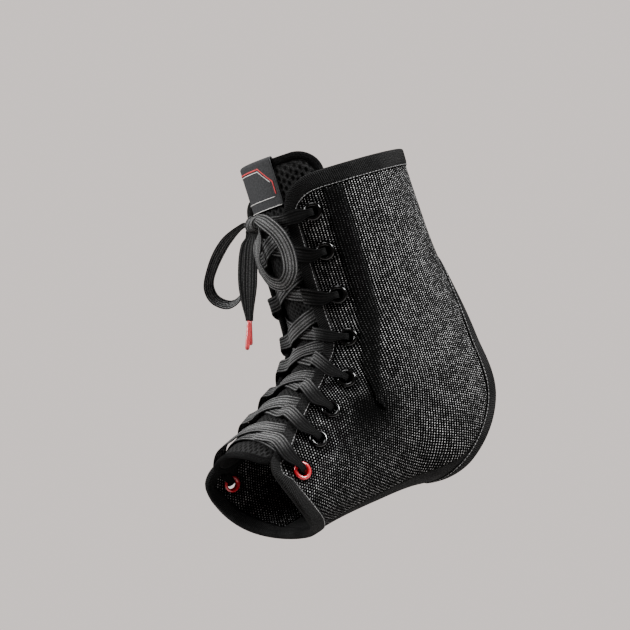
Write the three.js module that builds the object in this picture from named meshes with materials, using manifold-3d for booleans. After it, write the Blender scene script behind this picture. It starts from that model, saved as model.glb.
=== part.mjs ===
// A lace-up ankle brace: two woven sides that wrap the leg, the heel and the instep, joined by a gusset up
// the back and one under the foot, open at the heel, and laced over a padded tongue with one flat lace.
//
// Millimetres, +Z up the leg, toes towards -Y. The plane X = 0 is the plane of symmetry, and the origin is
// the middle of the ankle joint. Each fabric piece is a thin box bent onto one foot and leg form, where a
// place is a section number along the form (1 is the rim, 11 the foot edge), an angle round it (0 is the
// shin and instep, 180 the calf and sole) and a height above the form's skin.

import * as THREE from 'three';
import { mergeVertices } from 'three/addons/utils/BufferGeometryUtils.js';
import Module from 'manifold-3d';

const wasm = await Module();
wasm.setup();

// Driving dimensions of the form that the brace is cut to
const SHAFT_HEIGHT = 188;
const ANKLE_HEIGHT = 78;
const FOOT_REACH = 106;
const FRONT_DEPTH = 46.5;
const HEEL_REACH = 83;
const HALF_WIDTH = 37.5;

// Cloth, binding and lace
const TONGUE_THICKNESS = 2.0;
const PANEL_THICKNESS = 2.2;
const BINDING_THICKNESS = 0.6;
const POCKET_THICKNESS = 0.9;
const LABEL_THICKNESS = 0.7;
const LACE_WIDTH = 8.8;
const LACE_THICKNESS = 1.1;
const LAYER_GAP = 0.42;
const TONGUE_GAP = 0.76;
const BINDING_GAP = 0.5;
const CURVED_BINDING_GAP = 0.95;
const SEAM_GAP = 0.3;

// Bindings: how far each reaches onto the cloth
const RIM_BINDING_WIDTH = 9.5;
const LACING_BINDING_WIDTH = 5.5;
const FOOT_BINDING_WIDTH = 7;
const HEEL_BINDING_WIDTH = 8;
const TONGUE_BINDING_WIDTH = 4.5;
const TOP_CORNER_RADIUS = 18;
const FOOT_CORNER_RADIUS = 6;

// Eyelets
const EYELET_BORE_RADIUS = 3;
const EYELET_WALL = 0.9;
const EYELET_FLANGE = 1.4;
const EYELET_RIM_HEIGHT = 0.7;
const EYELET_INNER_HEIGHT = 0.5;
const EYELET_HOLE_CLEARANCE = 0.45;
const EYELET_SIDES = 8;

// Heel opening: a rounded hole, in sections along the form and degrees to each side of its back line
const HEEL_HOLE_MIDDLE = 5.4;
const HEEL_HOLE_REACH = 2;
const HEEL_HOLE_ANGLE = 33;
const SEAM_ANGLE = 148;

// Tongue and label
const TONGUE_TOP = 0.46;
const TONGUE_FOOT = 10.97;
const TONGUE_ANGLE = 66;
const TONGUE_CORNER_RADIUS = 15;
const LABEL_ANGLE = 29;
const LABEL_LENGTH = 27;
const LABEL_TURN_DOWN = 9;

// Lacing: how far from an eyelet the lace has turned flat again, where it bends, how far a strand lies free
// of a cloth edge, and half the length on which two strands lie on each other
const LACE_WIDTH_IN_BORE = 4.4;
const LACE_TURN_REACH = 7;
const LACE_BEND_REACH = 2.2;
const LACE_BEND_HEIGHT = 1.6;
const LACE_EDGE_CLEARANCE = 1.6;
const CROSSING_REACH = 13;

// Bow: the knot's section and height on the middle line of the form
const KNOT_SECTION = 1.616;
const KNOT_HEIGHT = 8.9;
const KNOT_RADIUS = 4.6;
const KNOT_LENGTH = 10;
const RIGHT_LOOP_LEAN = 55;
const LEFT_LOOP_LEAN = 32;
const LOOP_GATHER = 0.15;
const END_GATHER = 0.03;
const GATHERED_WIDTH = 0.5;
const AGLET_DIAMETER = 2.8;

// Sections of the form, from above the rim down the leg, round the heel and along the foot. forward is a
// share of FOOT_REACH, up of SHAFT_HEIGHT, front of FRONT_DEPTH, back of HEEL_REACH and half of HALF_WIDTH.
// tilt is how far the section leans, in degrees, and sole is the power of its lower half: 2 is an ellipse,
// more is squarer.
const SECTIONS = [
  { forward: 0, up: 1.138, tilt: 0, front: 1, back: 0.482, half: 0.96, sole: 2 },
  { forward: 0, up: 1, tilt: 0, front: 1, back: 0.482, half: 0.96, sole: 2 },
  { forward: 0, up: 0.851, tilt: 0, front: 1, back: 0.488, half: 0.947, sole: 2 },
  { forward: 0, up: 0.691, tilt: 0, front: 1, back: 0.506, half: 0.933, sole: 2 },
  { forward: 0.019, up: 0.559, tilt: 6, front: 0.957, back: 0.59, half: 0.96, sole: 2 },
  { forward: 0.075, up: 0.457, tilt: 17, front: 0.871, back: 0.771, half: 1, sole: 2 },
  { forward: 0.151, up: 0.383, tilt: 30, front: 0.824, back: 1, half: 1, sole: 2 },
  { forward: 0.255, up: 0.319, tilt: 45, front: 0.785, back: 0.916, half: 0.96, sole: 2.2 },
  { forward: 0.396, up: 0.266, tilt: 55, front: 0.71, back: 0.651, half: 0.933, sole: 2.4 },
  { forward: 0.566, up: 0.223, tilt: 60, front: 0.667, back: 0.512, half: 0.947, sole: 2.5 },
  { forward: 0.755, up: 0.181, tilt: 63, front: 0.581, back: 0.416, half: 1.013, sole: 2.5 },
  { forward: 1, up: 0.138, tilt: 64, front: 0.527, back: 0.355, half: 1.107, sole: 2.5 },
  { forward: 1.189, up: 0.106, tilt: 65, front: 0.484, back: 0.313, half: 1.147, sole: 2.5 },
];
const RIM = 1;
const FOOT = 11;

// Angles round the form, in degrees, at section 1 and on to 11: the cloth's lacing edge and the two edges of
// the pocket over the stay, which ends in a point at POCKET_END
const LACING_EDGE = [32.5, 31, 30.3, 30.5, 32.5, 34, 34, 36, 41, 48, 64];
const POCKET_FRONT = [61.5, 59, 58.3, 58.3, 58.5, 62, 70.5, 97];
const POCKET_BACK = [72.6, 72.6, 72.6, 72.6, 72.3, 75, 83.5, 99];
const POCKET_END = 7.62;

// Eyelets from the top down: section number and angle
const EYELETS = [
  { section: 1.74, angle: 49.5 },
  { section: 2.52, angle: 49.8 },
  { section: 3.51, angle: 49.2 },
  { section: 5.17, angle: 50.4 },
  { section: 7.45, angle: 59.4 },
  { section: 8.8, angle: 65.5 },
  { section: 9.8, angle: 74.5 },
  { section: 10.64, angle: 86 },
];

// The lace's free parts, point by point, measured from the knot: across the body, forward and up
const BOW_LOOP_LEFT = [
  [-6.1, 0.6, 1.6], [-9.5, 2.6, 1.8], [-17.5, 12.1, -4], [-26, 21.1, -16], [-30, 25.1, -26], [-29, 24.1, -34],
  [-23.5, 18.6, -39.5], [-18, 13.1, -37], [-15.5, 10.1, -28], [-13.5, 6.6, -18], [-11, 3.4, -8.5],
  [-8.6, 1, -3], [-6.1, 0.4, -1.6],
];
const BOW_LOOP_RIGHT = [
  [6.25, 0.6, 1.6], [9.5, 2.2, 2.6], [20, 3, -1.5], [26, 0.1, -11], [27.8, -0.9, -22], [26.5, 1.1, -33],
  [22, 5.1, -38], [16.5, 9.1, -34.5], [13, 11.1, -24], [11.8, 8.6, -14], [10.3, 4.1, -6.5],
  [8.4, 1.4, -2.8], [6.35, 0.4, -1.6],
];
const LACE_END_RIGHT = [
  [1.5, 2.8, -4.8], [2.8, 8.6, -14.5], [3, 12.6, -24], [2.5, 16.1, -34], [1.5, 19.1, -43.5], [0, 21.4, -52],
];
const LACE_END_LEFT = [
  [-1.5, 2.8, -4.8], [-3.6, 8.4, -14.5], [-4.2, 12.6, -25], [-4.2, 15.6, -35], [-3.7, 18.1, -43.5],
  [-2.7, 19.8, -51.5],
];
const AGLET_RIGHT_TIP = [-1.5, 27.6, -67.5];
const AGLET_LEFT_TIP = [-4.5, 23.1, -65.5];

// The lace's flat bar between the lowest eyelets: places as shares of the way from the middle to an eyelet,
// and how far it bows up the foot, in sections
const BAR_SHARES = [0.86, 0.77, 0.67, 0.58, 0.465, 0.315, 0.15];
const BAR_BOW = 0.32;

// Heights above the form's skin, from the inside out
const laceUnder = TONGUE_THICKNESS + TONGUE_GAP + LACE_THICKNESS / 2;
const laceCrossing = laceUnder + LACE_THICKNESS + LAYER_GAP;
const bindingInside = laceUnder + LACE_THICKNESS / 2 + LAYER_GAP;
const panelInside = bindingInside + BINDING_THICKNESS + BINDING_GAP;
const panelOutside = panelInside + PANEL_THICKNESS;
const bindingOutside = panelOutside + BINDING_GAP + BINDING_THICKNESS;
const laceOver = bindingOutside + LAYER_GAP + LACE_THICKNESS;
const eyeletHoleRadius = EYELET_BORE_RADIUS + EYELET_WALL + EYELET_HOLE_CLEARANCE;

// Sections at which the fabric's grids have a row: closer at the round corners, the ankle bend and the heel
const ROWS = [
  1, 1.06, 1.2, 1.4, 1.65, 2.4, 3.2, 3.9, 4.5, 4.8, 5.1, 5.35, 5.6, 5.85, 6.1, 6.35, 6.6, 6.85, 7.1, 7.4,
  7.8, 8.3, 8.8, 9.3, 9.8, 10.3, 10.65, 10.85, 10.95, 11,
];
const FRONT_ROWS = [
  1.65, 2.4, 3.2, 3.9, 4.5, 4.95, 5.35, 5.75, 6.1, 6.45, 6.8, 7.1, 7.5, 8, 8.6, 9.2, 9.8, 10.3,
  10.65, 10.85, 10.95,
];
const LACING_ROWS = [RIM, 1.06, 1.2, 1.4, ...FRONT_ROWS, FOOT];
const TONGUE_ROWS = [TONGUE_TOP, 0.49, 0.56, 0.68, 0.84, 1.04, ...FRONT_ROWS, TONGUE_FOOT];

const radians = THREE.MathUtils.degToRad;
const material = (name, color, roughness, metalness = 0) =>
  new THREE.MeshStandardMaterial({ name, color, roughness, metalness });

const FINISHES = {
  mesh: () => material('woven mesh', 0x1b1b1c, 0.85),
  knit: () => material('plain knit', 0x141415, 0.9),
  binding: () => material('binding', 0x2a2a2c, 0.9),
  tongue: () => material('spacer mesh', 0x101011, 0.95),
  label: () => material('label', 0x4a4a4c, 0.8),
  eyelet: () => material('eyelet black', 0x050505, 0.25),
  redEyelet: () => material('eyelet red', 0xc4162a, 0.3),
  lace: () => material('lace', 0x2b2b2c, 0.85),
  aglet: () => material('aglet', 0xe0474c, 0.35),
};

/** Catmull-Rom value of a list of numbers at a place between its entries. */
function smoothValue(list, place) {
  const at = Math.min(Math.max(place, 0), list.length - 1);
  const i = Math.min(Math.floor(at), list.length - 2);
  const t = at - i;
  const [a, b, c, d] = [Math.max(i - 1, 0), i, i + 1, Math.min(i + 2, list.length - 1)].map((k) => list[k]);
  return 0.5 * (2 * b + (c - a) * t + (2 * a - 5 * b + 4 * c - d) * t * t + (3 * b - a - 3 * c + d) * t ** 3);
}

const column = (name) => SECTIONS.map((row) => row[name]);
const COLUMNS = Object.fromEntries(Object.keys(SECTIONS[0]).map((name) => [name, column(name)]));

/** Point on the form's skin, measured up from the sole. */
function skinPoint(section, angle) {
  const share = (name) => smoothValue(COLUMNS[name], section);
  const cos = Math.cos(radians(angle));
  const sin = Math.sin(radians(angle));
  const power = 2 / (cos > 0 ? 2 : share('sole'));
  const depth = cos > 0 ? share('front') * FRONT_DEPTH : -share('back') * HEEL_REACH;
  const reach = depth * Math.abs(cos) ** power;
  const across = share('half') * HALF_WIDTH * Math.sign(sin) * Math.abs(sin) ** power;
  const tilt = radians(share('tilt'));
  const forward = share('forward') * FOOT_REACH + reach * Math.cos(tilt);
  const up = share('up') * SHAFT_HEIGHT + reach * Math.sin(tilt);
  return new THREE.Vector3(across, -forward, up - ANKLE_HEIGHT);
}

/** The two directions along the skin at a place, as millimetres for one section and for one degree. */
function skinTangents(section, angle) {
  const e = 0.002;
  const along = skinPoint(section + e, angle).sub(skinPoint(section - e, angle)).divideScalar(2 * e);
  const round = skinPoint(section, angle + 0.05).sub(skinPoint(section, angle - 0.05)).divideScalar(0.1);
  return { along, round };
}

/** Outward normal of the skin. */
function skinNormal(section, angle) {
  const { along, round } = skinTangents(section, angle);
  return along.cross(round).normalize();
}

/** Point at a height above the skin. */
function formPoint(section, angle, height) {
  return skinPoint(section, angle).addScaledVector(skinNormal(section, angle), height);
}

/** Degrees round the form that a length in millimetres takes. */
function degreesFor(length, section, angle) {
  return length / skinTangents(section, angle).round.length();
}

/** The place that lies a given length across a path on the skin, towards its cloth side. */
function stepAcross(place, direction, length) {
  const { along, round } = skinTangents(place.section, place.angle);
  const normal = along.clone().cross(round).normalize();
  const travel = along.clone().multiplyScalar(direction.section).addScaledVector(round, direction.angle);
  const inward = normal.cross(travel).normalize().multiplyScalar(length);
  const aa = along.dot(along);
  const ar = along.dot(round);
  const rr = round.dot(round);
  const ia = inward.dot(along);
  const ir = inward.dot(round);
  const scale = aa * rr - ar * ar;
  return {
    section: place.section + (ia * rr - ir * ar) / scale,
    angle: place.angle + (ir * aa - ia * ar) / scale,
  };
}

/** Signed volume of an indexed geometry. */
function signedVolume(geometry) {
  const position = geometry.getAttribute('position');
  const [a, b, c] = [new THREE.Vector3(), new THREE.Vector3(), new THREE.Vector3()];
  let sum = 0;
  for (let i = 0; i < geometry.index.count; i += 3) {
    a.fromBufferAttribute(position, geometry.index.getX(i));
    b.fromBufferAttribute(position, geometry.index.getX(i + 1));
    c.fromBufferAttribute(position, geometry.index.getX(i + 2));
    sum += a.dot(b.cross(c)) / 6;
  }
  return sum;
}

/** The geometry with only merged positions left, and its faces pointing out. */
function closed(geometry) {
  geometry.deleteAttribute('normal');
  geometry.deleteAttribute('uv');
  const merged = mergeVertices(geometry, 1e-4);
  if (signedVolume(merged) < 0) {
    const order = merged.index.array;
    for (let i = 0; i < order.length; i += 3) {
      [order[i], order[i + 1]] = [order[i + 1], order[i]];
    }
  }
  merged.computeVertexNormals();
  return merged;
}

/** A box of cells, each corner of which is put in place by a function of three shares from 0 to 1. */
function bentBox(cells, place) {
  const geometry = new THREE.BoxGeometry(1, 1, 1, cells.across, cells.through, cells.along);
  const position = geometry.getAttribute('position');
  for (let i = 0; i < position.count; i += 1) {
    const corner = place(position.getX(i) + 0.5, position.getY(i) + 0.5, position.getZ(i) + 0.5);
    position.setXYZ(i, corner.x, corner.y, corner.z);
  }
  return closed(geometry);
}

/** Rows of the shared grid that lie between two sections, with both ends. */
function rowsBetween(first, last) {
  const margin = 0.04;
  return [first, ...ROWS.filter((row) => row > first + margin && row < last - margin), last];
}

const picked = (list, share) => list[Math.round(share * (list.length - 1))];

/** Length by which a rounded corner pulls an edge back, at a distance from the corner's end. */
function cornerPull(distance, radius) {
  const left = Math.min(Math.max(radius - distance, 0), radius);
  return radius - Math.sqrt(radius * radius - left * left);
}

/** Section of the foot edge at an angle: it reaches forward at the sides of the foot. */
function footEdge(angle) {
  const middle = Math.min(angle, 360 - angle);
  return FOOT - 0.2 + 0.4 * Math.cos(radians(1.1 * (middle - 95))) ** 2;
}

/** A row number turned into a section: rows near the foot follow the foot edge. */
function clothSection(row, angle) {
  const blend = Math.max(0, (row - 9) / (FOOT - 9));
  return row + (footEdge(angle) - FOOT) * blend * blend;
}

/** Angle of the cloth's lacing edge at a row, with its rounded top and foot corners. */
function lacingEdge(row) {
  const angle = smoothValue(LACING_EDGE, row - 1);
  const rimDistance = skinPoint(row, angle).distanceTo(skinPoint(RIM, angle));
  const footDistance = skinPoint(row, angle).distanceTo(skinPoint(FOOT, angle));
  const pull = cornerPull(rimDistance, TOP_CORNER_RADIUS) + cornerPull(footDistance, FOOT_CORNER_RADIUS);
  return angle + degreesFor(pull, row, angle);
}

/** Half-angle of the heel opening at a section, or 0 outside it. */
function heelHoleAngle(section) {
  const share = (section - HEEL_HOLE_MIDDLE) / HEEL_HOLE_REACH;
  return Math.abs(share) < 1 ? HEEL_HOLE_ANGLE * Math.sqrt(1 - share * share) : 0;
}

/** Sections by which the heel opening reaches from its middle at an angle. */
function heelHoleReach(angle) {
  const share = (angle - 180) / HEEL_HOLE_ANGLE;
  return HEEL_HOLE_REACH * Math.sqrt(Math.max(0, 1 - share * share));
}

const mirrored = (side, angle) => (side > 0 ? angle : 360 - angle);

/** Turned like a lathe round the normal of the form at an eyelet. */
function ontoEyelet(geometry, eyelet, side) {
  const angle = mirrored(side, eyelet.angle);
  const turn = new THREE.Quaternion().setFromUnitVectors(
    new THREE.Vector3(0, 1, 0), skinNormal(eyelet.section, angle),
  );
  const place = skinPoint(eyelet.section, angle);
  return geometry.applyMatrix4(new THREE.Matrix4().compose(place, turn, new THREE.Vector3(1, 1, 1)));
}

function solidOf(geometry) {
  return new wasm.Manifold(new wasm.Mesh({
    numProp: 3,
    vertProperties: new Float32Array(geometry.getAttribute('position').array),
    triVerts: new Uint32Array(geometry.index.array),
  }));
}

function geometryOf(solid) {
  const mesh = solid.getMesh();
  const geometry = new THREE.BufferGeometry();
  geometry.setAttribute('position', new THREE.Float32BufferAttribute(mesh.vertProperties, 3));
  geometry.setIndex(new THREE.Uint32BufferAttribute(mesh.triVerts, 1));
  geometry.computeVertexNormals();
  return geometry;
}

/** One side of the brace, with its eight eyelet holes. */
function sidePanel(side) {
  const across = 9;
  const along = ROWS.length - 1;
  const sheet = bentBox({ across, through: 1, along }, (a, b, c) => {
    const row = picked(ROWS, c);
    const front = lacingEdge(row);
    const seam = SEAM_ANGLE - degreesFor(SEAM_GAP / 2, row, SEAM_ANGLE);
    const back = Math.min(seam, 180 - heelHoleAngle(row));
    const angle = front + (back - front) * a;
    return formPoint(clothSection(row, angle), mirrored(side, angle), panelInside + PANEL_THICKNESS * b);
  });
  let solid = solidOf(sheet);
  for (const eyelet of EYELETS) {
    const drill = new THREE.CylinderGeometry(
      eyeletHoleRadius, eyeletHoleRadius, 3 * PANEL_THICKNESS, EYELET_SIDES,
    );
    drill.translate(0, panelInside + PANEL_THICKNESS / 2, 0);
    solid = solid.subtract(solidOf(closed(ontoEyelet(drill, eyelet, side))));
  }
  return geometryOf(solid);
}

/** A gusset between the two sides: its rows meet theirs at the seams, and follow the heel opening between. */
function gusset(rows, holeRow, direction) {
  const across = 12;
  const far = rows[0] === holeRow ? rows[rows.length - 1] : rows[0];
  return bentBox({ across, through: 1, along: rows.length - 1 }, (a, b, c) => {
    const row = picked(rows, c);
    const half = 180 - SEAM_ANGLE - degreesFor(SEAM_GAP / 2, row, SEAM_ANGLE);
    const angle = 180 + HEEL_HOLE_ANGLE * Math.sin(Math.asin(half / HEEL_HOLE_ANGLE) * (2 * a - 1));
    const reach = heelHoleReach(angle) + 0.02;
    const slack = HEEL_HOLE_MIDDLE + direction * reach - holeRow;
    const place = row + (slack * (row - far)) / (holeRow - far);
    return formPoint(clothSection(place, angle), angle, panelInside + PANEL_THICKNESS * b);
  });
}

/** A folded binding along a path on the form: cloth lies between its two legs. */
function foldedBinding(path) {
  const along = path.length - 1;
  const reach = (place, direction, length, height) => {
    const at = stepAcross(place, direction, length);
    return formPoint(at.section, at.angle, height);
  };
  return bentBox({ across: 3, through: 1, along }, (a, b, c) => {
    const i = Math.round(c * along);
    const [before, place, after] = [path[Math.max(i - 1, 0)], path[i], path[Math.min(i + 1, along)]];
    const direction = { section: after.section - before.section, angle: after.angle - before.angle };
    const leg = Math.round(3 * a);
    const grow = place.gap + BINDING_THICKNESS * b;
    const length = leg === 0 || leg === 3 ? place.width : -grow;
    const height = leg < 2 ? panelInside - grow : panelOutside + grow;
    return reach(place, direction, length, height);
  });
}

/** The path round the brace's whole outer edge, starting and ending on the back line of the rim. */
function outerEdgePath() {
  const lacing = (side) => LACING_ROWS.map((row) => {
    const angle = lacingEdge(row);
    const rim = Math.max(0, 1 - (row - RIM) / 0.6);
    const width = LACING_BINDING_WIDTH + (RIM_BINDING_WIDTH - LACING_BINDING_WIDTH) * rim;
    const gap = row < FOOT ? BINDING_GAP : CURVED_BINDING_GAP;
    return { section: clothSection(row, angle), angle: mirrored(side, angle), width, gap };
  });
  const round = (first, last, steps, place) => Array.from({ length: steps - 1 }, (_, k) => {
    const angle = first + ((last - first) * (k + 1)) / steps;
    return place(angle);
  });
  const right = lacing(1);
  const left = lacing(-1).reverse();
  const footStart = right[right.length - 1].angle;
  const rimStart = right[0].angle;
  const rim = (angle) => ({ section: RIM, angle, width: RIM_BINDING_WIDTH, gap: BINDING_GAP });
  const foot = (angle) => ({
    section: footEdge(angle), angle, width: FOOT_BINDING_WIDTH, gap: CURVED_BINDING_GAP,
  });
  const endGap = degreesFor(SEAM_GAP / 2, RIM, 180);
  return [
    rim(180 - endGap),
    ...round(180 - endGap, rimStart, 11, rim),
    ...right,
    ...round(footStart, 360 - footStart, 26, foot),
    ...left,
    ...round(360 - rimStart, 180 + endGap, 11, rim),
    rim(180 + endGap),
  ];
}

/** The path round the heel opening, starting and ending at its top. */
function heelEdgePath() {
  const steps = 40;
  const start = 1.2;
  return Array.from({ length: steps + 1 }, (_, k) => {
    const turn = radians(start + ((360 - 2 * start) * k) / steps);
    return {
      section: HEEL_HOLE_MIDDLE - HEEL_HOLE_REACH * Math.cos(turn),
      angle: 180 + HEEL_HOLE_ANGLE * Math.sin(turn),
      width: HEEL_BINDING_WIDTH,
      gap: CURVED_BINDING_GAP,
    };
  });
}

/** The dark band over the stay. It starts below the rim binding and ends in a point by the heel. */
function stayPocket(side) {
  const bandTop = RIM + RIM_BINDING_WIDTH / skinTangents(RIM, 66).along.length() + 0.03;
  const rows = rowsBetween(bandTop, POCKET_END);
  return bentBox({ across: 2, through: 1, along: rows.length - 1 }, (a, b, c) => {
    const row = picked(rows, c);
    const front = smoothValue(POCKET_FRONT, row - 1);
    const back = smoothValue(POCKET_BACK, row - 1);
    const angle = mirrored(side, front + (back - front) * a);
    return formPoint(row, angle, panelOutside + LAYER_GAP + POCKET_THICKNESS * b);
  });
}

/** A place on the tongue, given a row and a share of its half-width, its outline pulled in by an inset. */
function tonguePlace(row, share, inset) {
  const reach = (section) => inset / skinTangents(section, 0).along.length();
  const first = TONGUE_TOP + reach(TONGUE_TOP);
  const last = TONGUE_FOOT - reach(TONGUE_FOOT);
  const section = first + ((last - first) * (row - TONGUE_TOP)) / (TONGUE_FOOT - TONGUE_TOP);
  const side = 45;
  const radius = TONGUE_CORNER_RADIUS - inset;
  const topDistance = skinPoint(section, side).distanceTo(skinPoint(first, side));
  const footDistance = skinPoint(section, side).distanceTo(skinPoint(last, side));
  const pull = inset + cornerPull(topDistance, radius) + cornerPull(footDistance, radius);
  return { section, angle: share * (TONGUE_ANGLE - degreesFor(pull, section, side)) };
}

/** The padded tongue inside its border. */
function tongue() {
  return bentBox({ across: 8, through: 1, along: TONGUE_ROWS.length - 1 }, (a, b, c) => {
    const place = tonguePlace(picked(TONGUE_ROWS, c), 2 * a - 1, TONGUE_BINDING_WIDTH + LAYER_GAP);
    return formPoint(place.section, place.angle, TONGUE_THICKNESS * b);
  });
}

/** The smooth border round the tongue, as thick as the tongue. */
function tongueBinding() {
  const shares = [-0.8, -0.6, -0.4, -0.2, 0, 0.2, 0.4, 0.6, 0.8];
  const open = 0.004;
  const route = [
    { row: TONGUE_TOP, share: open },
    ...shares.slice(5).map((share) => ({ row: TONGUE_TOP, share })),
    ...TONGUE_ROWS.map((row) => ({ row, share: 1 })),
    ...[...shares].reverse().map((share) => ({ row: TONGUE_FOOT, share })),
    ...[...TONGUE_ROWS].reverse().map((row) => ({ row, share: -1 })),
    ...shares.slice(0, 4).map((share) => ({ row: TONGUE_TOP, share })),
    { row: TONGUE_TOP, share: -open },
  ];
  return bentBox({ across: 1, through: 1, along: route.length - 1 }, (a, b, c) => {
    const { row, share } = picked(route, c);
    const place = tonguePlace(row, share, TONGUE_BINDING_WIDTH * a);
    return formPoint(place.section, place.angle, TONGUE_THICKNESS * b);
  });
}

/** The label: one strip folded over the top edge of the tongue. */
function label() {
  const across = 3;
  return bentBox({ across, through: 1, along: 8 }, (a, b, c) => {
    const angle = LABEL_ANGLE * (2 * c - 1);
    const leg = Math.round(across * a);
    const grow = LAYER_GAP + LABEL_THICKNESS * b;
    const length = skinTangents(TONGUE_TOP, angle).along.length();
    const lengths = [LABEL_TURN_DOWN, -grow, -grow, LABEL_LENGTH];
    const height = leg < 2 ? -grow : TONGUE_THICKNESS + grow;
    return formPoint(TONGUE_TOP + lengths[leg] / length, angle, height);
  });
}

/** A ring with a flange on each side of the cloth. */
function eyelet(place, side) {
  const low = bindingInside + LAYER_GAP / 4;
  const barrel = EYELET_BORE_RADIUS + EYELET_WALL;
  const seat = panelOutside + LAYER_GAP;
  const outline = [
    [EYELET_BORE_RADIUS, low],
    [barrel + EYELET_FLANGE * 0.7, low],
    [barrel, low + EYELET_INNER_HEIGHT],
    [barrel, seat],
    [barrel + EYELET_FLANGE, seat],
    [EYELET_BORE_RADIUS + EYELET_WALL / 2, seat + EYELET_RIM_HEIGHT],
  ].map(([radius, height]) => new THREE.Vector2(radius, height));
  outline.push(outline[0].clone());
  return closed(ontoEyelet(new THREE.LatheGeometry(outline, EYELET_SIDES), place, side));
}

/** A flat ribbon through rings of four corners, given as a middle, a half width and a half thickness. */
function ribbon(rings) {
  const along = rings.length - 1;
  return bentBox({ across: 1, through: 1, along }, (a, b, c) => {
    const ring = rings[Math.round(c * along)];
    return ring.middle.clone().addScaledVector(ring.width, 2 * a - 1).addScaledVector(ring.thick, 2 * b - 1);
  });
}

/** Rings of a ribbon whose places are on the form, its width lying along the form. */
function formRibbon(places) {
  const middles = [];
  const widths = [];
  for (const place of places) {
    const step = place.width / 2 / skinTangents(place.section, place.angle).along.length();
    const low = formPoint(place.section + step, place.angle, place.height);
    const high = formPoint(place.section - step, place.angle, place.height);
    middles.push(low.clone().add(high).multiplyScalar(0.5));
    widths.push(high.sub(low).multiplyScalar(0.5));
  }
  return middles.map((middle, i) => {
    const travel = middles[Math.min(i + 1, middles.length - 1)].clone().sub(middles[Math.max(i - 1, 0)]);
    const thick = widths[i].clone().cross(travel).normalize().multiplyScalar(LACE_THICKNESS / 2);
    return { middle, width: widths[i], thick };
  });
}

/** Places of the lace as it rises through an eyelet and turns out over the cloth, towards the instep. */
function throughEyelet(place, side) {
  const at = (length, height, width) => ({
    section: place.section,
    angle: side * (place.angle - degreesFor(length, place.section, place.angle)),
    height,
    width,
  });
  const narrow = LACE_WIDTH_IN_BORE;
  const wide = LACE_WIDTH;
  const bend = LACE_BEND_HEIGHT;
  return [
    at(LACE_TURN_REACH, laceUnder, (wide + narrow) * 0.54),
    at(LACE_BEND_REACH, laceUnder, narrow),
    at(LACE_BEND_REACH / 4, laceUnder + bend / 4, narrow),
    at(0, laceUnder + bend, narrow),
    at(0, laceOver - bend, narrow),
    at(LACE_BEND_REACH / 4, laceOver - bend / 4, narrow),
    at(LACE_BEND_REACH, laceOver, narrow),
    at(LACE_TURN_REACH, laceOver, wide),
  ];
}

/** Places of one crossing, from over one lacing edge to under the other, at a height in the middle. */
function crossing(from, to, side, height) {
  const clear = BINDING_GAP + BINDING_THICKNESS + LACE_EDGE_CLEARANCE;
  const startEdge = lacingEdge(from.section) - degreesFor(clear, from.section, from.angle);
  const endEdge = lacingEdge(to.section) - degreesFor(clear, to.section, to.angle);
  const middle = (from.section + to.section) / 2;
  const flat = degreesFor(CROSSING_REACH, middle, 0);
  const sectionAt = (angle) => {
    const share = (from.angle - angle) / (from.angle + to.angle);
    return from.section + (to.section - from.section) * share;
  };
  const slope = skinPoint(from.section, 0).distanceTo(skinPoint(to.section, 0));
  const span = from.angle / degreesFor(1, middle, 30) + to.angle / degreesFor(1, middle, 30);
  const width = LACE_WIDTH * Math.hypot(1, slope / span);
  const stops = [
    [startEdge, laceOver],
    [startEdge - (startEdge - flat) * 0.5, laceOver + (height - laceOver) * 0.6],
    [flat, height],
    [flat * 0.5, height],
    [0, height],
    [-flat * 0.5, height],
    [-flat, height],
    [-endEdge, laceUnder],
  ];
  return stops.map(([angle, level]) => ({
    section: sectionAt(angle), angle: side * angle, height: level, width,
  }));
}

/** The lace on one side's start: up through every eyelet from the lowest to the top one, and to the knot. */
function laceHalf(side) {
  const order = [...EYELETS].reverse();
  const places = [];
  let at = side;
  order.forEach((eyeletPlace, k) => {
    places.push(...throughEyelet(eyeletPlace, at));
    if (k < order.length - 1) {
      places.push(...crossing(eyeletPlace, order[k + 1], at, at > 0 ? laceUnder : laceCrossing));
      at = -at;
    }
  });
  const top = EYELETS[0];
  const edge = lacingEdge(top.section);
  const end = degreesFor(KNOT_LENGTH * 0.465, KNOT_SECTION, 0);
  const low = KNOT_HEIGHT - KNOT_RADIUS * 0.63;
  const rise = [[edge * 0.91, laceOver], [edge * 0.62, low + 1], [end, low]];
  for (const [angle, height] of rise) {
    const share = (0.8 * (edge - angle)) / (edge - end);
    const section = top.section + (KNOT_SECTION - top.section) * share;
    places.push({ section, angle: at * angle, height, width: LACE_WIDTH * 0.8 });
  }
  return places;
}

/** The whole lace: one half, the bar between the lowest eyelets, and the other half. */
function lace() {
  const lowest = EYELETS[EYELETS.length - 1];
  const shares = [...BAR_SHARES, 0, ...BAR_SHARES.map((share) => -share).reverse()];
  const bar = shares.map((share) => ({
    section: lowest.section - BAR_BOW * (1 - share ** 2),
    angle: lowest.angle * share,
    height: laceUnder,
    width: LACE_WIDTH,
  }));
  const right = laceHalf(1).reverse();
  const left = laceHalf(-1);
  return ribbon(formRibbon([...right, ...bar, ...left]));
}

const knotPlace = formPoint(KNOT_SECTION, 0, KNOT_HEIGHT);
const bowPoint = ([across, forward, up]) => new THREE.Vector3(across, -forward, up).add(knotPlace);

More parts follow.
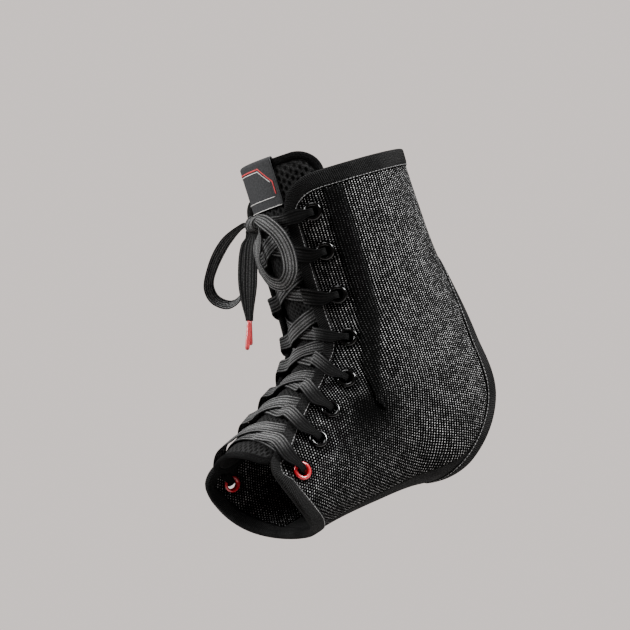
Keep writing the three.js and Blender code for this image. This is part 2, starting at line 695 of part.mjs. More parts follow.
/** A free ribbon along chosen points, gathered at its start and over a last share of its length. */
function freeRibbon(points, steps, gather, widthAt) {
  const curve = new THREE.CatmullRomCurve3(points.map(bowPoint));
  const rings = Array.from({ length: steps + 1 }, (_, k) => {
    const share = k / steps;
    const middle = curve.getPointAt(share);
    const travel = curve.getTangentAt(share);
    const width = widthAt(share, middle, travel);
    width.addScaledVector(travel, -width.dot(travel)).normalize();
    const thick = width.clone().cross(travel).normalize().multiplyScalar(LACE_THICKNESS / 2);
    const full = THREE.MathUtils.smoothstep(Math.min(share / LOOP_GATHER, (1 - share) / gather), 0, 1);
    const spread = GATHERED_WIDTH + (1 - GATHERED_WIDTH) * full;
    return { middle, width: width.multiplyScalar((LACE_WIDTH / 2) * spread), thick };
  });
  return ribbon(rings);
}

/** A bow loop: its band leans outwards like the wall of a cone. */
function bowLoop(points, lean) {
  const places = points.map(bowPoint);
  const centre = places.reduce((sum, p) => sum.add(p), new THREE.Vector3()).divideScalar(places.length);
  const normal = places[3].clone().sub(centre).cross(places[7].clone().sub(centre)).normalize();
  const along = normal.multiplyScalar(Math.cos(radians(lean)));
  return freeRibbon(points, 24, LOOP_GATHER, (share, middle) => {
    const outward = middle.clone().sub(centre).normalize();
    return along.clone().addScaledVector(outward, Math.sin(radians(lean)));
  });
}

/** A straight tube from the end of the lace to its tip. */
function aglet(points, tip) {
  const last = bowPoint(points[points.length - 1]);
  const end = bowPoint(tip);
  const direction = end.clone().sub(last).normalize();
  const start = last.clone().addScaledVector(direction, SEAM_GAP);
  const outline = new THREE.Shape();
  outline.absarc(0, 0, AGLET_DIAMETER / 2, 0, 2 * Math.PI);
  const tube = new THREE.ExtrudeGeometry(outline, {
    steps: 2, curveSegments: 10, bevelEnabled: false, extrudePath: new THREE.LineCurve3(start, end),
  });
  return closed(tube);
}

/** The wrapped knot: a short barrel lying across the tongue, pinched between the two loops. */
function knot() {
  const half = KNOT_LENGTH / 2;
  const shape = [[0, -1], [0.75, -1], [1, -0.5], [0.8, 0], [1, 0.5], [0.75, 1], [0, 1]];
  const outline = shape.map(([radius, height]) => new THREE.Vector2(radius * KNOT_RADIUS, height * half));
  const barrel = new THREE.LatheGeometry(outline, 10).rotateZ(Math.PI / 2);
  return closed(barrel.translate(knotPlace.x, knotPlace.y, knotPlace.z));
}

const group = new THREE.Group();
function add(name, geometry, finish) {
  const mesh = new THREE.Mesh(geometry, finish());
  mesh.name = name;
  group.add(mesh);
}

const SIDES = [['right', 1], ['left', -1]];
for (const [name, side] of SIDES) {
  add(`side_panel_${name}`, sidePanel(side), FINISHES.mesh);
  add(`stay_pocket_${name}`, stayPocket(side), FINISHES.knit);
  EYELETS.forEach((place, k) => {
    const finish = k === EYELETS.length - 1 ? FINISHES.redEyelet : FINISHES.eyelet;
    add(`eyelet_${name}_${k + 1}`, eyelet(place, side), finish);
  });
}

const seamReach = heelHoleReach(SEAM_ANGLE);
const holeTop = HEEL_HOLE_MIDDLE - seamReach;
const holeFoot = HEEL_HOLE_MIDDLE + seamReach;
const backRows = rowsBetween(RIM, holeTop);
const soleRows = rowsBetween(holeFoot, FOOT);
add('back_gusset', gusset(backRows, holeTop, -1), FINISHES.knit);
add('sole_gusset', gusset(soleRows, holeFoot, 1), FINISHES.knit);
add('edge_binding', foldedBinding(outerEdgePath()), FINISHES.binding);
add('heel_binding', foldedBinding(heelEdgePath()), FINISHES.binding);

add('tongue', tongue(), FINISHES.tongue);
add('tongue_binding', tongueBinding(), FINISHES.knit);
add('label', label(), FINISHES.label);

add('lace', lace(), FINISHES.lace);
add('lace_knot', knot(), FINISHES.lace);
add('bow_loop_right', bowLoop(BOW_LOOP_RIGHT, RIGHT_LOOP_LEAN), FINISHES.lace);
add('bow_loop_left', bowLoop(BOW_LOOP_LEFT, LEFT_LOOP_LEAN), FINISHES.lace);
const endWidth = () => new THREE.Vector3(0.6, 0.8, 0);
add('lace_end_right', freeRibbon(LACE_END_RIGHT, 12, END_GATHER, endWidth), FINISHES.lace);
add('lace_end_left', freeRibbon(LACE_END_LEFT, 12, END_GATHER, endWidth), FINISHES.lace);
add('aglet_right', aglet(LACE_END_RIGHT, AGLET_RIGHT_TIP), FINISHES.aglet);
add('aglet_left', aglet(LACE_END_LEFT, AGLET_LEFT_TIP), FINISHES.aglet);

export default group;
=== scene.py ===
import logging
import math
from collections.abc import Callable, Sequence
from dataclasses import dataclass
from enum import Enum

import bmesh
import bpy
import numpy as np
from mathutils import Matrix, Vector


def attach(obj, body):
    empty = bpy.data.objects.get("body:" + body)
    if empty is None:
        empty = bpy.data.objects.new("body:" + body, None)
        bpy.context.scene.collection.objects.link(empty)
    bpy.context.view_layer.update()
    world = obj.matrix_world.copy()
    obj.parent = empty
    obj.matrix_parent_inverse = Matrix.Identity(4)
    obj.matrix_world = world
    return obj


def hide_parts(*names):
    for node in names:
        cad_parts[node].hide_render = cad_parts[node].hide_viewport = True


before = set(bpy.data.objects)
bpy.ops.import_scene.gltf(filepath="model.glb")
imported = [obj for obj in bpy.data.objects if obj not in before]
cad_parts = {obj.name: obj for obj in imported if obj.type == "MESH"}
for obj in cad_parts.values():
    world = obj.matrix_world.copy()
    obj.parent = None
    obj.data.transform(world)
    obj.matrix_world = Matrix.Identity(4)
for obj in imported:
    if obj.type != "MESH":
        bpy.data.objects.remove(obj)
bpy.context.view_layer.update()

BODY = "root"
MM = 0.001
SAME_PLACE = 2e-6
LOG = logging.getLogger("ankle_brace")

Points = np.ndarray
Placing = Callable[[Points, Points], Points]

# The form that the brace is cut to, in millimetres, as in the part's source
SHAFT_HEIGHT = 188.0
ANKLE_HEIGHT = 78.0
FOOT_REACH = 106.0
FRONT_DEPTH = 46.5
HEEL_REACH = 83.0
HALF_WIDTH = 37.5

# Section by section: forward, up, tilt, front, back, half, sole
SECTIONS = np.array([
    (0, 1.138, 0, 1, 0.482, 0.96, 2),
    (0, 1, 0, 1, 0.482, 0.96, 2),
    (0, 0.851, 0, 1, 0.488, 0.947, 2),
    (0, 0.691, 0, 1, 0.506, 0.933, 2),
    (0.019, 0.559, 6, 0.957, 0.59, 0.96, 2),
    (0.075, 0.457, 17, 0.871, 0.771, 1, 2),
    (0.151, 0.383, 30, 0.824, 1, 1, 2),
    (0.255, 0.319, 45, 0.785, 0.916, 0.96, 2.2),
    (0.396, 0.266, 55, 0.71, 0.651, 0.933, 2.4),
    (0.566, 0.223, 60, 0.667, 0.512, 0.947, 2.5),
    (0.755, 0.181, 63, 0.581, 0.416, 1.013, 2.5),
    (1, 0.138, 64, 0.527, 0.355, 1.107, 2.5),
    (1.189, 0.106, 65, 0.484, 0.313, 1.147, 2.5),
])
RIM = 1.0
FOOT = 11.0
LACING_EDGE = np.array([32.5, 31, 30.3, 30.5, 32.5, 34, 34, 36, 41, 48, 64])
POCKET_FRONT = np.array([61.5, 59, 58.3, 58.3, 58.5, 62, 70.5, 97])
POCKET_BACK = np.array([72.6, 72.6, 72.6, 72.6, 72.3, 75, 83.5, 99])
POCKET_END = 7.62
EYELETS = (
    (1.74, 49.5), (2.52, 49.8), (3.51, 49.2), (5.17, 50.4),
    (7.45, 59.4), (8.8, 65.5), (9.8, 74.5), (10.64, 86.0),
)

# How the foot edge reaches forward: sections, degrees, and the row where the cloth begins to follow it
FOOT_EDGE_DEPTH = 0.4
FOOT_EDGE_FRONT = 95
FOOT_EDGE_TURN = 1.1
FOOT_EDGE_START = 9

# The wear of the cloth: slack everywhere, and creases in front of the ankle's side
SLACK_DEPTH = 0.35
CREASE_DEPTH = 1.0
CREASE_SECTION = 7.3
CREASE_ANGLE = 82

# The flat side pattern: steps round a section, and its heel, drawn out below a level
ARC_STEPS = 24
FLAT_HEEL_TOP = -20
FLAT_HEEL_REACH = 30
FLAT_HEEL_SHEAR = 0.3
SECTION_LENGTH = 28.0

# Cloth, binding and lace
TONGUE_THICKNESS = 2.0
PANEL_THICKNESS = 2.2
BINDING_THICKNESS = 0.6
POCKET_THICKNESS = 0.9
LABEL_THICKNESS = 0.7
LACE_WIDTH = 8.8
LACE_THICKNESS = 1.1
LAYER_GAP = 0.42
TONGUE_GAP = 0.76
BINDING_GAP = 0.5
SEAM_GAP = 0.3
RIM_BINDING_WIDTH = 9.5
LACING_BINDING_WIDTH = 5.5
FOOT_BINDING_WIDTH = 7.0
HEEL_BINDING_WIDTH = 8.0
TONGUE_BINDING_WIDTH = 4.5
TOP_CORNER_RADIUS = 18.0
FOOT_CORNER_RADIUS = 6.0
SEAM_INSET = 0.9
SEAM_HEIGHT = 0.72
HEEL_HOLE_MIDDLE = 5.4
HEEL_HOLE_REACH = 2.0
HEEL_HOLE_ANGLE = 33.0
SEAM_ANGLE = 148.0
TONGUE_TOP = 0.46
TONGUE_FOOT = 10.97
TONGUE_ANGLE = 66.0
TONGUE_QUARTER = 45.0
TONGUE_CORNER_RADIUS = 15.0
LABEL_ANGLE = 29.0
LABEL_LENGTH = 27.0
LABEL_TURN_DOWN = 9.0

# Eyelets and the lace through them
EYELET_BORE_RADIUS = 3.0
EYELET_WALL = 0.9
EYELET_FLANGE = 1.4
EYELET_RIM_HEIGHT = 0.7
EYELET_INNER_HEIGHT = 0.5
LACE_WIDTH_IN_BORE = 4.4
LACE_TURN_REACH = 7.0
LACE_BEND_REACH = 2.2
LACE_BEND_HEIGHT = 1.6
LACE_EDGE_CLEARANCE = 1.6
CROSSING_REACH = 13.0
BAR_SHARES = (0.86, 0.77, 0.67, 0.58, 0.465, 0.315, 0.15)
BAR_BOW = 0.32

# The bow, point by point from the knot: across the body, forward and up
KNOT_SECTION = 1.616
KNOT_HEIGHT = 8.9
KNOT_RADIUS = 4.6
KNOT_LENGTH = 10.0
AGLET_DIAMETER = 2.8
BOW_LOOP_LEFT = (
    (-6.1, 0.6, 1.6), (-9.5, 2.6, 1.8), (-17.5, 12.1, -4), (-26, 21.1, -16), (-30, 25.1, -26),
    (-29, 24.1, -34), (-23.5, 18.6, -39.5), (-18, 13.1, -37), (-15.5, 10.1, -28),
    (-13.5, 6.6, -18), (-11, 3.4, -8.5), (-8.6, 1, -3), (-6.1, 0.4, -1.6),
)
BOW_LOOP_RIGHT = (
    (6.25, 0.6, 1.6), (9.5, 2.2, 2.6), (20, 3, -1.5), (26, 0.1, -11), (27.8, -0.9, -22),
    (26.5, 1.1, -33), (22, 5.1, -38), (16.5, 9.1, -34.5), (13, 11.1, -24),
    (11.8, 8.6, -14), (10.3, 4.1, -6.5), (8.4, 1.4, -2.8), (6.35, 0.4, -1.6),
)
LACE_END_RIGHT = (
    (1.5, 2.8, -4.8), (2.8, 8.6, -14.5), (3, 12.6, -24), (2.5, 16.1, -34),
    (1.5, 19.1, -43.5), (0, 21.4, -52),
)
LACE_END_LEFT = (
    (-1.5, 2.8, -4.8), (-3.6, 8.4, -14.5), (-4.2, 12.6, -25), (-4.2, 15.6, -35),
    (-3.7, 18.1, -43.5), (-2.7, 19.8, -51.5),
)
AGLET_RIGHT_TIP = (-1.5, 27.6, -67.5)
AGLET_LEFT_TIP = (-4.5, 23.1, -65.5)

# Heights above the form's skin, from the inside out
LACE_UNDER = TONGUE_THICKNESS + TONGUE_GAP + LACE_THICKNESS / 2
LACE_CROSSING = LACE_UNDER + LACE_THICKNESS + LAYER_GAP
BINDING_INSIDE = LACE_UNDER + LACE_THICKNESS / 2 + LAYER_GAP
PANEL_INSIDE = BINDING_INSIDE + BINDING_THICKNESS + BINDING_GAP
PANEL_OUTSIDE = PANEL_INSIDE + PANEL_THICKNESS
LACE_OVER = PANEL_OUTSIDE + BINDING_GAP + BINDING_THICKNESS + LAYER_GAP + LACE_THICKNESS


class Slot(Enum):
    """Names of material slots."""

    WOVEN = "woven_mesh"
    KNIT = "plain_knit"
    BINDING = "binding"
    SPACER = "spacer_mesh"
    LABEL = "label"
    EYELET_BLACK = "eyelet_black"
    EYELET_RED = "eyelet_red"
    LACE = "lace"
    AGLET = "aglet"


class Side(Enum):
    """The two sides of the brace."""

    RIGHT = 1
    LEFT = -1

    @property
    def label(self) -> str:
        """The word for the side in the names of pieces."""
        return self.name.lower()

    def angle(self, angle: Points) -> Points:
        """The angle round the form on this side, from one on the right side."""
        return angle if self is Side.RIGHT else 360 - np.asarray(angle, float)


def smooth_value(values: Points, place: Points) -> Points:
    """Catmull-Rom value of a list of numbers at places between its entries.

    Args:
        values: The entries.
        place: Where to read them, from 0 to the last index.

    Returns:
        The value at each place.
    """
    last = len(values) - 1
    at = np.clip(np.asarray(place, float), 0, last)
    i = np.minimum(np.floor(at).astype(int), last - 1)
    t = at - i
    a, b, c, d = (np.asarray(values, float)[np.clip(i + k, 0, last)] for k in (-1, 0, 1, 2))
    return 0.5 * (2 * b + (c - a) * t + (2 * a - 5 * b + 4 * c - d) * t**2 + (3 * b - a - 3 * c + d) * t**3)


def smoothstep(low: float, high: float, value: Points) -> Points:
    """A smooth rise from 0 at low to 1 at high."""
    t = np.clip((np.asarray(value, float) - low) / (high - low), 0, 1)
    return t * t * (3 - 2 * t)


def unit(vectors: Points) -> Points:
    """The vectors with length 1."""
    return vectors / np.maximum(np.linalg.norm(vectors, axis=-1, keepdims=True), 1e-12)


def arrays(*values: Points) -> list[Points]:
    """The values as float arrays of one shape."""
    return np.broadcast_arrays(*(np.asarray(value, float) for value in values))


def distance(a: Points, b: Points) -> Points:
    """Distances between points."""
    return np.linalg.norm(a - b, axis=-1)


def running_length(line: Points) -> Points:
    """Length along a line up to each of its points."""
    return np.concatenate([[0], np.cumsum(distance(line[1:], line[:-1]))])


def on_right_side(angle: Points) -> Points:
    """Angles round the form, with those on the left side as their mirror places on the right."""
    return np.minimum(angle, 360 - np.asarray(angle, float))


class Form:
    """The form that the brace is cut to: a place on it is a section, an angle and a height above its skin."""

    def skin(self, section: Points, angle: Points) -> Points:
        """Points on the form's skin, in millimetres in the row frame.

        Args:
            section: Section numbers along the form.
            angle: Degrees round it, 0 at the shin and instep.

        Returns:
            One point for each pair.
        """
        section, angle = arrays(section, angle)
        columns = (smooth_value(column, section) for column in SECTIONS.T)
        forward, up, tilt, front, back, half, sole = columns
        cos, sin = np.cos(np.radians(angle)), np.sin(np.radians(angle))
        power = np.where(cos > 0, 1.0, 2 / sole)
        depth = np.where(cos > 0, front * FRONT_DEPTH, -back * HEEL_REACH)
        reach = depth * np.abs(cos) ** power
        across = half * HALF_WIDTH * np.sign(sin) * np.abs(sin) ** power
        lean = np.radians(tilt)
        y = -(forward * FOOT_REACH + reach * np.cos(lean))
        z = up * SHAFT_HEIGHT + reach * np.sin(lean) - ANKLE_HEIGHT
        return np.stack([across, y, z], axis=-1)

    def tangents(self, section: Points, angle: Points) -> tuple[Points, Points]:
        """Millimetres along the skin for one section and for one degree."""
        e, f = 0.002, 0.05
        along = (self.skin(section + e, angle) - self.skin(section - e, angle)) / (2 * e)
        across = (self.skin(section, angle + f) - self.skin(section, angle - f)) / (2 * f)
        return along, across

    def normal(self, section: Points, angle: Points) -> Points:
        """Outward normals of the skin."""
        along, across = self.tangents(section, angle)
        return unit(np.cross(along, across))

    def point(self, section: Points, angle: Points, height: Points) -> Points:
        """Points at a height above the skin."""
        section, angle, height = arrays(section, angle, height)
        return self.skin(section, angle) + self.normal(section, angle) * height[..., None]

    def degrees_for(self, length: Points, section: Points, angle: Points) -> Points:
        """Degrees round the form that a length takes."""
        return length / np.linalg.norm(self.tangents(section, angle)[1], axis=-1)

    def step_across(self, section: Points, angle: Points, travel: Points,
                    length: Points) -> tuple[Points, Points]:
        """The places that lie a given length across a path, towards its cloth side.

        Args:
            section: Sections of the path's places.
            angle: Their angles.
            travel: The path's direction there, as (section, angle) rows.
            length: How far across, in millimetres.

        Returns:
            The sections and the angles of the new places.
        """
        along, across = self.tangents(section, angle)
        normal = unit(np.cross(along, across))
        direction = along * travel[..., :1] + across * travel[..., 1:]
        inward = unit(np.cross(normal, direction)) * np.asarray(length, float)[..., None]
        aa, ar, rr = (along * along).sum(-1), (along * across).sum(-1), (across * across).sum(-1)
        ia, ir = (inward * along).sum(-1), (inward * across).sum(-1)
        scale = aa * rr - ar * ar
        return section + (ia * rr - ir * ar) / scale, angle + (ir * aa - ia * ar) / scale

    def flat(self, section: Points, angle: Points) -> Points:
        """The flat side pattern, in metres: each section unrolled in its own plane onto the side view.

        Args:
            section: Section numbers.
            angle: Angles, 90 on the side line.

        Returns:
            Rows of (across the leg, up the leg) on the cloth's flat cut.
        """
        section, angle = arrays(section, angle)
        share = (np.arange(ARC_STEPS) + 0.5) / ARC_STEPS
        turn = 90 + (angle[..., None] - 90) * share
        spread = np.linalg.norm(self.tangents(section[..., None] + 0 * turn, turn)[1], axis=-1).mean(-1)
        arc = spread * (angle - 90)
        side = self.skin(section, 90 + 0 * angle)
        lean = np.radians(smooth_value(SECTIONS[:, 2], section))
        y = side[..., 1] + arc * np.cos(lean)
        z = side[..., 2] - arc * np.sin(lean)
        heel = np.minimum(z - FLAT_HEEL_TOP, 0) * smoothstep(FLAT_HEEL_REACH, -FLAT_HEEL_REACH, y)
        y = y - FLAT_HEEL_SHEAR * heel
        return np.stack([y, z], axis=-1) * MM


FORM = Form()


def corner_pull(away: Points, radius: Points) -> Points:
    """Length by which a rounded corner pulls an edge back, at a distance from the corner's end."""
    left = np.clip(radius - away, 0, radius)
    return radius - np.sqrt(radius * radius - left * left)


def foot_edge(angle: Points) -> Points:
    """Section of the foot edge at an angle: it reaches forward at the sides."""
    reach = np.cos(np.radians(FOOT_EDGE_TURN * (on_right_side(angle) - FOOT_EDGE_FRONT))) ** 2
    return FOOT - FOOT_EDGE_DEPTH / 2 + FOOT_EDGE_DEPTH * reach


def cloth_section(row: Points, angle: Points) -> Points:
    """A row number turned into a section: rows near the foot follow the foot edge."""
    blend = np.maximum(0, (np.asarray(row, float) - FOOT_EDGE_START) / (FOOT - FOOT_EDGE_START))
    return row + (foot_edge(angle) - FOOT) * blend * blend


def lacing_edge(row: Points) -> Points:
    """Angle of the cloth's lacing edge at a row, with its rounded top and foot corners."""
    row = np.asarray(row, float)
    angle = smooth_value(LACING_EDGE, row - 1)
    here = FORM.skin(row, angle)
    pull = corner_pull(distance(here, FORM.skin(RIM, angle)), TOP_CORNER_RADIUS)
    pull = pull + corner_pull(distance(here, FORM.skin(FOOT, angle)), FOOT_CORNER_RADIUS)
    return angle + FORM.degrees_for(pull, row, angle)


def heel_hole_angle(section: Points) -> Points:
    """Half-angle of the heel opening at a section, or 0 outside it."""
    share = (np.asarray(section, float) - HEEL_HOLE_MIDDLE) / HEEL_HOLE_REACH
    return HEEL_HOLE_ANGLE * np.sqrt(np.maximum(0, 1 - share * share))


def heel_hole_reach(angle: Points) -> Points:
    """Sections by which the heel opening reaches from its middle at an angle."""
    share = (np.asarray(angle, float) - 180) / HEEL_HOLE_ANGLE
    return HEEL_HOLE_REACH * np.sqrt(np.maximum(0, 1 - share * share))


def bell(*offsets: Points) -> Points:
    """1 where every offset is 0, falling smoothly to 0 beyond 1."""
    return np.exp(-sum(offset**2 for offset in offsets))


def relief(section: Points, angle: Points) -> Points:
    """Soft undulation of worn cloth, in millimetres inwards, with creases before the ankle's side.

    Args:
        section: Section numbers.
        angle: Angles; both sides wear alike.

    Returns:
        Depths, 0 where the cloth is tight.
    """
    middle = on_right_side(angle)
    wave = 0.5 + 0.5 * np.sin(2.1 * section + 0.11 * middle) * np.cos(0.9 * section - 0.17 * middle)
    bend = bell((section - CREASE_SECTION) / 1.1, (middle - CREASE_ANGLE) / 13)
    crease = np.sin(5.2 * section - 0.22 * middle)
    return SLACK_DEPTH * wave + bend * CREASE_DEPTH * (0.55 + 0.45 * crease)


def grid(columns: int, rows: int, place: Placing, flat: Placing | None = None,
         shade: Placing | None = None) -> bmesh.types.BMesh:
    """A grid of cells, put in place by a function of two shares from 0 to 1.

    Args:
        columns: Cells across.
        rows: Cells along.
        place: Points in millimetres for arrays of shares.
        flat: The cloth's flat coordinates in metres, kept in the UV map "weave".
        shade: How bright the cloth's pale yarns show, with any painted light and shade, kept in the attribute
            "shade".

    Returns:
        The grid, with its faces as place turned them.
    """
    bm = bmesh.new()
    layer = bm.loops.layers.uv.new("weave")
    bright = bm.verts.layers.float.new("shade")
    bmesh.ops.create_grid(bm, x_segments=columns, y_segments=rows, size=0.5)
    bm.verts.index_update()
    shares = np.array([v.co[:2] for v in bm.verts]) + 0.5
    across, along = shares[:, 0], shares[:, 1]
    points = place(across, along) * MM
    uv = flat(across, along) if flat else shares
    light = np.broadcast_to(shade(across, along), across.shape) if shade else np.ones(len(shares))
    for vert, point, value in zip(bm.verts, points, light):
        vert.co = point
        vert[bright] = value
    for face in bm.faces:
        for loop in face.loops:
            loop[layer].uv = uv[loop.vert.index]
    return bm


def close_round(bm: bmesh.types.BMesh) -> None:
    """Join a grid's edges that meet, fill its open ends and turn its faces out."""
    bmesh.ops.remove_doubles(bm, verts=bm.verts, dist=SAME_PLACE)
    rims = [e for e in bm.edges if e.is_boundary]
    if rims:
        bmesh.ops.holes_fill(bm, edges=rims, sides=0)
    bmesh.ops.recalc_face_normals(bm, faces=bm.faces)


def merge(bm: bmesh.types.BMesh, other: bmesh.types.BMesh) -> None:
    """Take another mesh into one, and free it."""
    mesh = bpy.data.meshes.new("merged")
    other.to_mesh(mesh)
    other.free()
    bm.from_mesh(mesh)
    bpy.data.meshes.remove(mesh)


def spun(outline: Sequence[tuple[float, float]], steps: int, closed: bool) -> bmesh.types.BMesh:
    """A mesh spun round the upright axis.

    Args:
        outline: Pairs of radius and height, in millimetres.
        steps: Steps round.
        closed: Whether the outline's end joins its start.

    Returns:
        The mesh, in metres.
    """
    bm = bmesh.new()
    chain = [bm.verts.new((radius * MM, 0, height * MM)) for radius, height in outline]
    following = chain[1:] + chain[:1] if closed else chain[1:]
    edges = [bm.edges.new(pair) for pair in zip(chain, following)]
    bmesh.ops.spin(bm, geom=chain + edges, cent=(0, 0, 0), axis=(0, 0, 1), angle=2 * math.pi,
                   steps=steps, use_merge=True, use_duplicate=False)
    return bm


def face_along(bm: bmesh.types.BMesh, direction: Sequence[float]) -> None:
    """Turn an open sheet's faces so that on the average they look along a direction."""
    bm.normal_update()
    lean = sum(f.normal.dot(Vector(direction)) * f.calc_area() for f in bm.faces)
    if lean < 0:
        bmesh.ops.reverse_faces(bm, faces=bm.faces)


def linked(name: str, data: bpy.types.ID) -> bpy.types.Object:
    """A new object of some data, linked to the scene."""
    thing = bpy.data.objects.new(name, data)
    bpy.context.scene.collection.objects.link(thing)
    return thing


def meshed(name: str, bm: bmesh.types.BMesh, material: bpy.types.Material) -> bpy.types.Object:
    """A new object of a bmesh, which is freed, in one material."""
    mesh = bpy.data.meshes.new(name)
    bm.to_mesh(mesh)
    bm.free()
    mesh.materials.append(material)
    return linked(name, mesh)


def finished(name: str, bm: bmesh.types.BMesh, material: bpy.types.Material,
             replaces: Sequence[str] = ()) -> bpy.types.Object:
    """Make an object of a bmesh, dress it and give it to the frame.

    Args:
        name: The piece's name.
        bm: Its mesh, in metres, freed here.
        material: Its finish.
        replaces: The CAD nodes that it stands for.

    Returns:
        The new object.
    """
    piece = meshed(name, bm, material)
    for face in piece.data.polygons:
        face.use_smooth = True
    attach(piece, BODY)
    if replaces:
        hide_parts(*replaces)
    LOG.info("%s: %d faces", name, len(piece.data.polygons))
    return piece


def thicken(piece: bpy.types.Object, thickness: float) -> None:
    """Give a sheet its thickness in millimetres, inwards from its outer face."""
    solid = piece.modifiers.new("thickness", "SOLIDIFY")
    solid.thickness = thickness * MM
    solid.offset = -1.0


def spline(points: Points, count: int) -> Points:
    """Centripetal Catmull-Rom curve through points, resampled to even steps.

    Args:
        points: The points that it passes through.
        count: How many points to return.

    Returns:
        Points along the curve, the first and the last among them.
    """
    points = np.asarray(points, float)
    padded = np.vstack([2 * points[0] - points[1], points, 2 * points[-1] - points[-2]])
    fine = []
    for p0, p1, p2, p3 in zip(padded, padded[1:], padded[2:], padded[3:]):
        steps = [max(np.linalg.norm(b - a), 1e-6) ** 0.5 for a, b in ((p0, p1), (p1, p2), (p2, p3))]
        t = np.cumsum([0.0] + steps)
        x = np.linspace(t[1], t[2], 24, endpoint=False)[:, None]
        a1 = (t[1] - x) / (t[1] - t[0]) * p0 + (x - t[0]) / (t[1] - t[0]) * p1
        a2 = (t[2] - x) / (t[2] - t[1]) * p1 + (x - t[1]) / (t[2] - t[1]) * p2
        a3 = (t[3] - x) / (t[3] - t[2]) * p2 + (x - t[2]) / (t[3] - t[2]) * p3
        b1 = (t[2] - x) / (t[2] - t[0]) * a1 + (x - t[0]) / (t[2] - t[0]) * a2
        b2 = (t[3] - x) / (t[3] - t[1]) * a2 + (x - t[1]) / (t[3] - t[1]) * a3
        fine.append((t[2] - x) / (t[2] - t[1]) * b1 + (x - t[1]) / (t[2] - t[1]) * b2)
    line = np.vstack(fine + [points[-1:]])
    return evenly(line, count)


def evenly(line: Points, count: int) -> Points:
    """The rows of a line again, at even steps along its first three columns."""
    along = running_length(line[:, :3])
    at = np.linspace(0, along[-1], count)
    return np.stack([np.interp(at, along, line[:, k]) for k in range(line.shape[1])], axis=1)


def length_of(line: Points) -> float:
    """Length of a line of points."""
    return float(np.linalg.norm(np.diff(line, axis=0), axis=1).sum())


class Graph:
    """A material's nodes, with short calls to add and join them."""

    def __init__(self, name: str) -> None:
        """Start a material of that name with a Principled shader."""
        self.material = bpy.data.materials.new(name)
        self.material.use_nodes = True
        self.tree = self.material.node_tree
        self.shader = next(n for n in self.tree.nodes if n.type == "BSDF_PRINCIPLED")

    def add(self, kind: str, inputs: dict | None = None, **settings: object) -> bpy.types.Node:
        """Add a node.

        Args:
            kind: Its type's name.
            inputs: Values or sockets for its inputs, by name or number.
            settings: Its own properties.

        Returns:
            The node.
        """
        node = self.tree.nodes.new(kind)
        for key, value in settings.items():
            setattr(node, key, value)
        for key, value in (inputs or {}).items():
            self.put(node.inputs[key], value)
        return node

    def put(self, socket: bpy.types.NodeSocket, value: object) -> None:
        """Give a socket a value, or join another socket to it."""
        if isinstance(value, bpy.types.NodeSocket):
            self.tree.links.new(value, socket)
        else:
            socket.default_value = value

    def math(self, operation: str, a: object, b: object = 0.0, c: object = 0.0) -> bpy.types.NodeSocket:
        """The result of a Math node."""
        node = self.add("ShaderNodeMath", {0: a, 1: b, 2: c}, operation=operation)
        return node.outputs[0]

    def times(self, a: object, b: object) -> bpy.types.NodeSocket:
        """The product of two values."""
        return self.math("MULTIPLY", a, b)

    def wave(self, value: object, turn: float) -> bpy.types.NodeSocket:
        """The sine of a value times a number."""
        return self.math("SINE", self.times(value, turn))

    def ramp(self, value: object, low: float, high: float, first: float = 0.0,
             last: float = 1.0) -> bpy.types.NodeSocket:
        """A value taken smoothly from one range to another, and held at its ends."""
        node = self.add("ShaderNodeMapRange", {0: value, 1: low, 2: high, 3: first, 4: last},
                        interpolation_type="SMOOTHSTEP")
        return node.outputs[0]

    def mix(self, share: object, first: object, last: object) -> bpy.types.NodeSocket:
        """A colour between two colours."""
        node = self.add("ShaderNodeMix", data_type="RGBA")
        self.put(node.inputs[0], share)
        self.put(node.inputs[6], first)
        self.put(node.inputs[7], last)
        return node.outputs[2]

    def noise(self, vector: object, scale: float, detail: float = 2.0) -> bpy.types.NodeSocket:
        """The value of a noise texture, 0 to 1."""
        node = self.add("ShaderNodeTexNoise", {"Vector": vector, "Scale": scale, "Detail": detail})
        return node.outputs[0]

    def fleck(self, vector: object, scale: float, low: float, high: float) -> bpy.types.NodeSocket:
        """Fine flecks of a noise, 0 to 1."""
        return self.ramp(self.noise(vector, scale), low, high)

    def place(self) -> bpy.types.NodeSocket:
        """Object coordinates, in metres."""
        return self.add("ShaderNodeTexCoord").outputs["Object"]

    def flat(self) -> tuple[bpy.types.NodeSocket, bpy.types.NodeSocket, bpy.types.NodeSocket]:
        """The two flat coordinates of the piece's own UV map, and both as a vector."""
        uv = self.add("ShaderNodeUVMap", uv_map="weave").outputs[0]
        apart = self.add("ShaderNodeSeparateXYZ", {0: uv})
        return apart.outputs[0], apart.outputs[1], uv

    def shade(self) -> bpy.types.NodeSocket:
        """The piece's own attribute of how bright its pale yarns show, with the painted light and shade that
        it holds.
        """
        return self.add("ShaderNodeAttribute", attribute_name="shade").outputs["Fac"]

    def bump(self, height: object, distance: float, strength: float = 1.0) -> None:
        """Raise the surface by a height from 0 to 1 times a distance in millimetres."""
        node = self.add("ShaderNodeBump", {"Height": height, "Distance": distance * MM, "Strength": strength})
        self.put(self.shader.inputs["Normal"], node.outputs[0])

    def coat(self, colour: object, roughness: object, **sockets: float) -> bpy.types.Material:
        """Set the shader's colour and roughness, and other sockets by name.

        Args:
            colour: The base colour.
            roughness: The roughness.
            sockets: Other sockets' values, with _ for a space in the name.

        Returns:
            The material.
        """
        self.put(self.shader.inputs["Base Color"], colour)
        self.put(self.shader.inputs["Roughness"], roughness)
        for name, value in sockets.items():
            self.shader.inputs[name.replace("_", " ")].default_value = value
        return self.material


def rgb(red: float, green: float, blue: float) -> tuple[float, float, float, float]:
    """A linear colour with full opacity."""
    return (red, green, blue, 1.0)


def grey(value: float) -> tuple[float, float, float, float]:
    """A neutral linear colour."""
    return (value, value, value, 1.0)


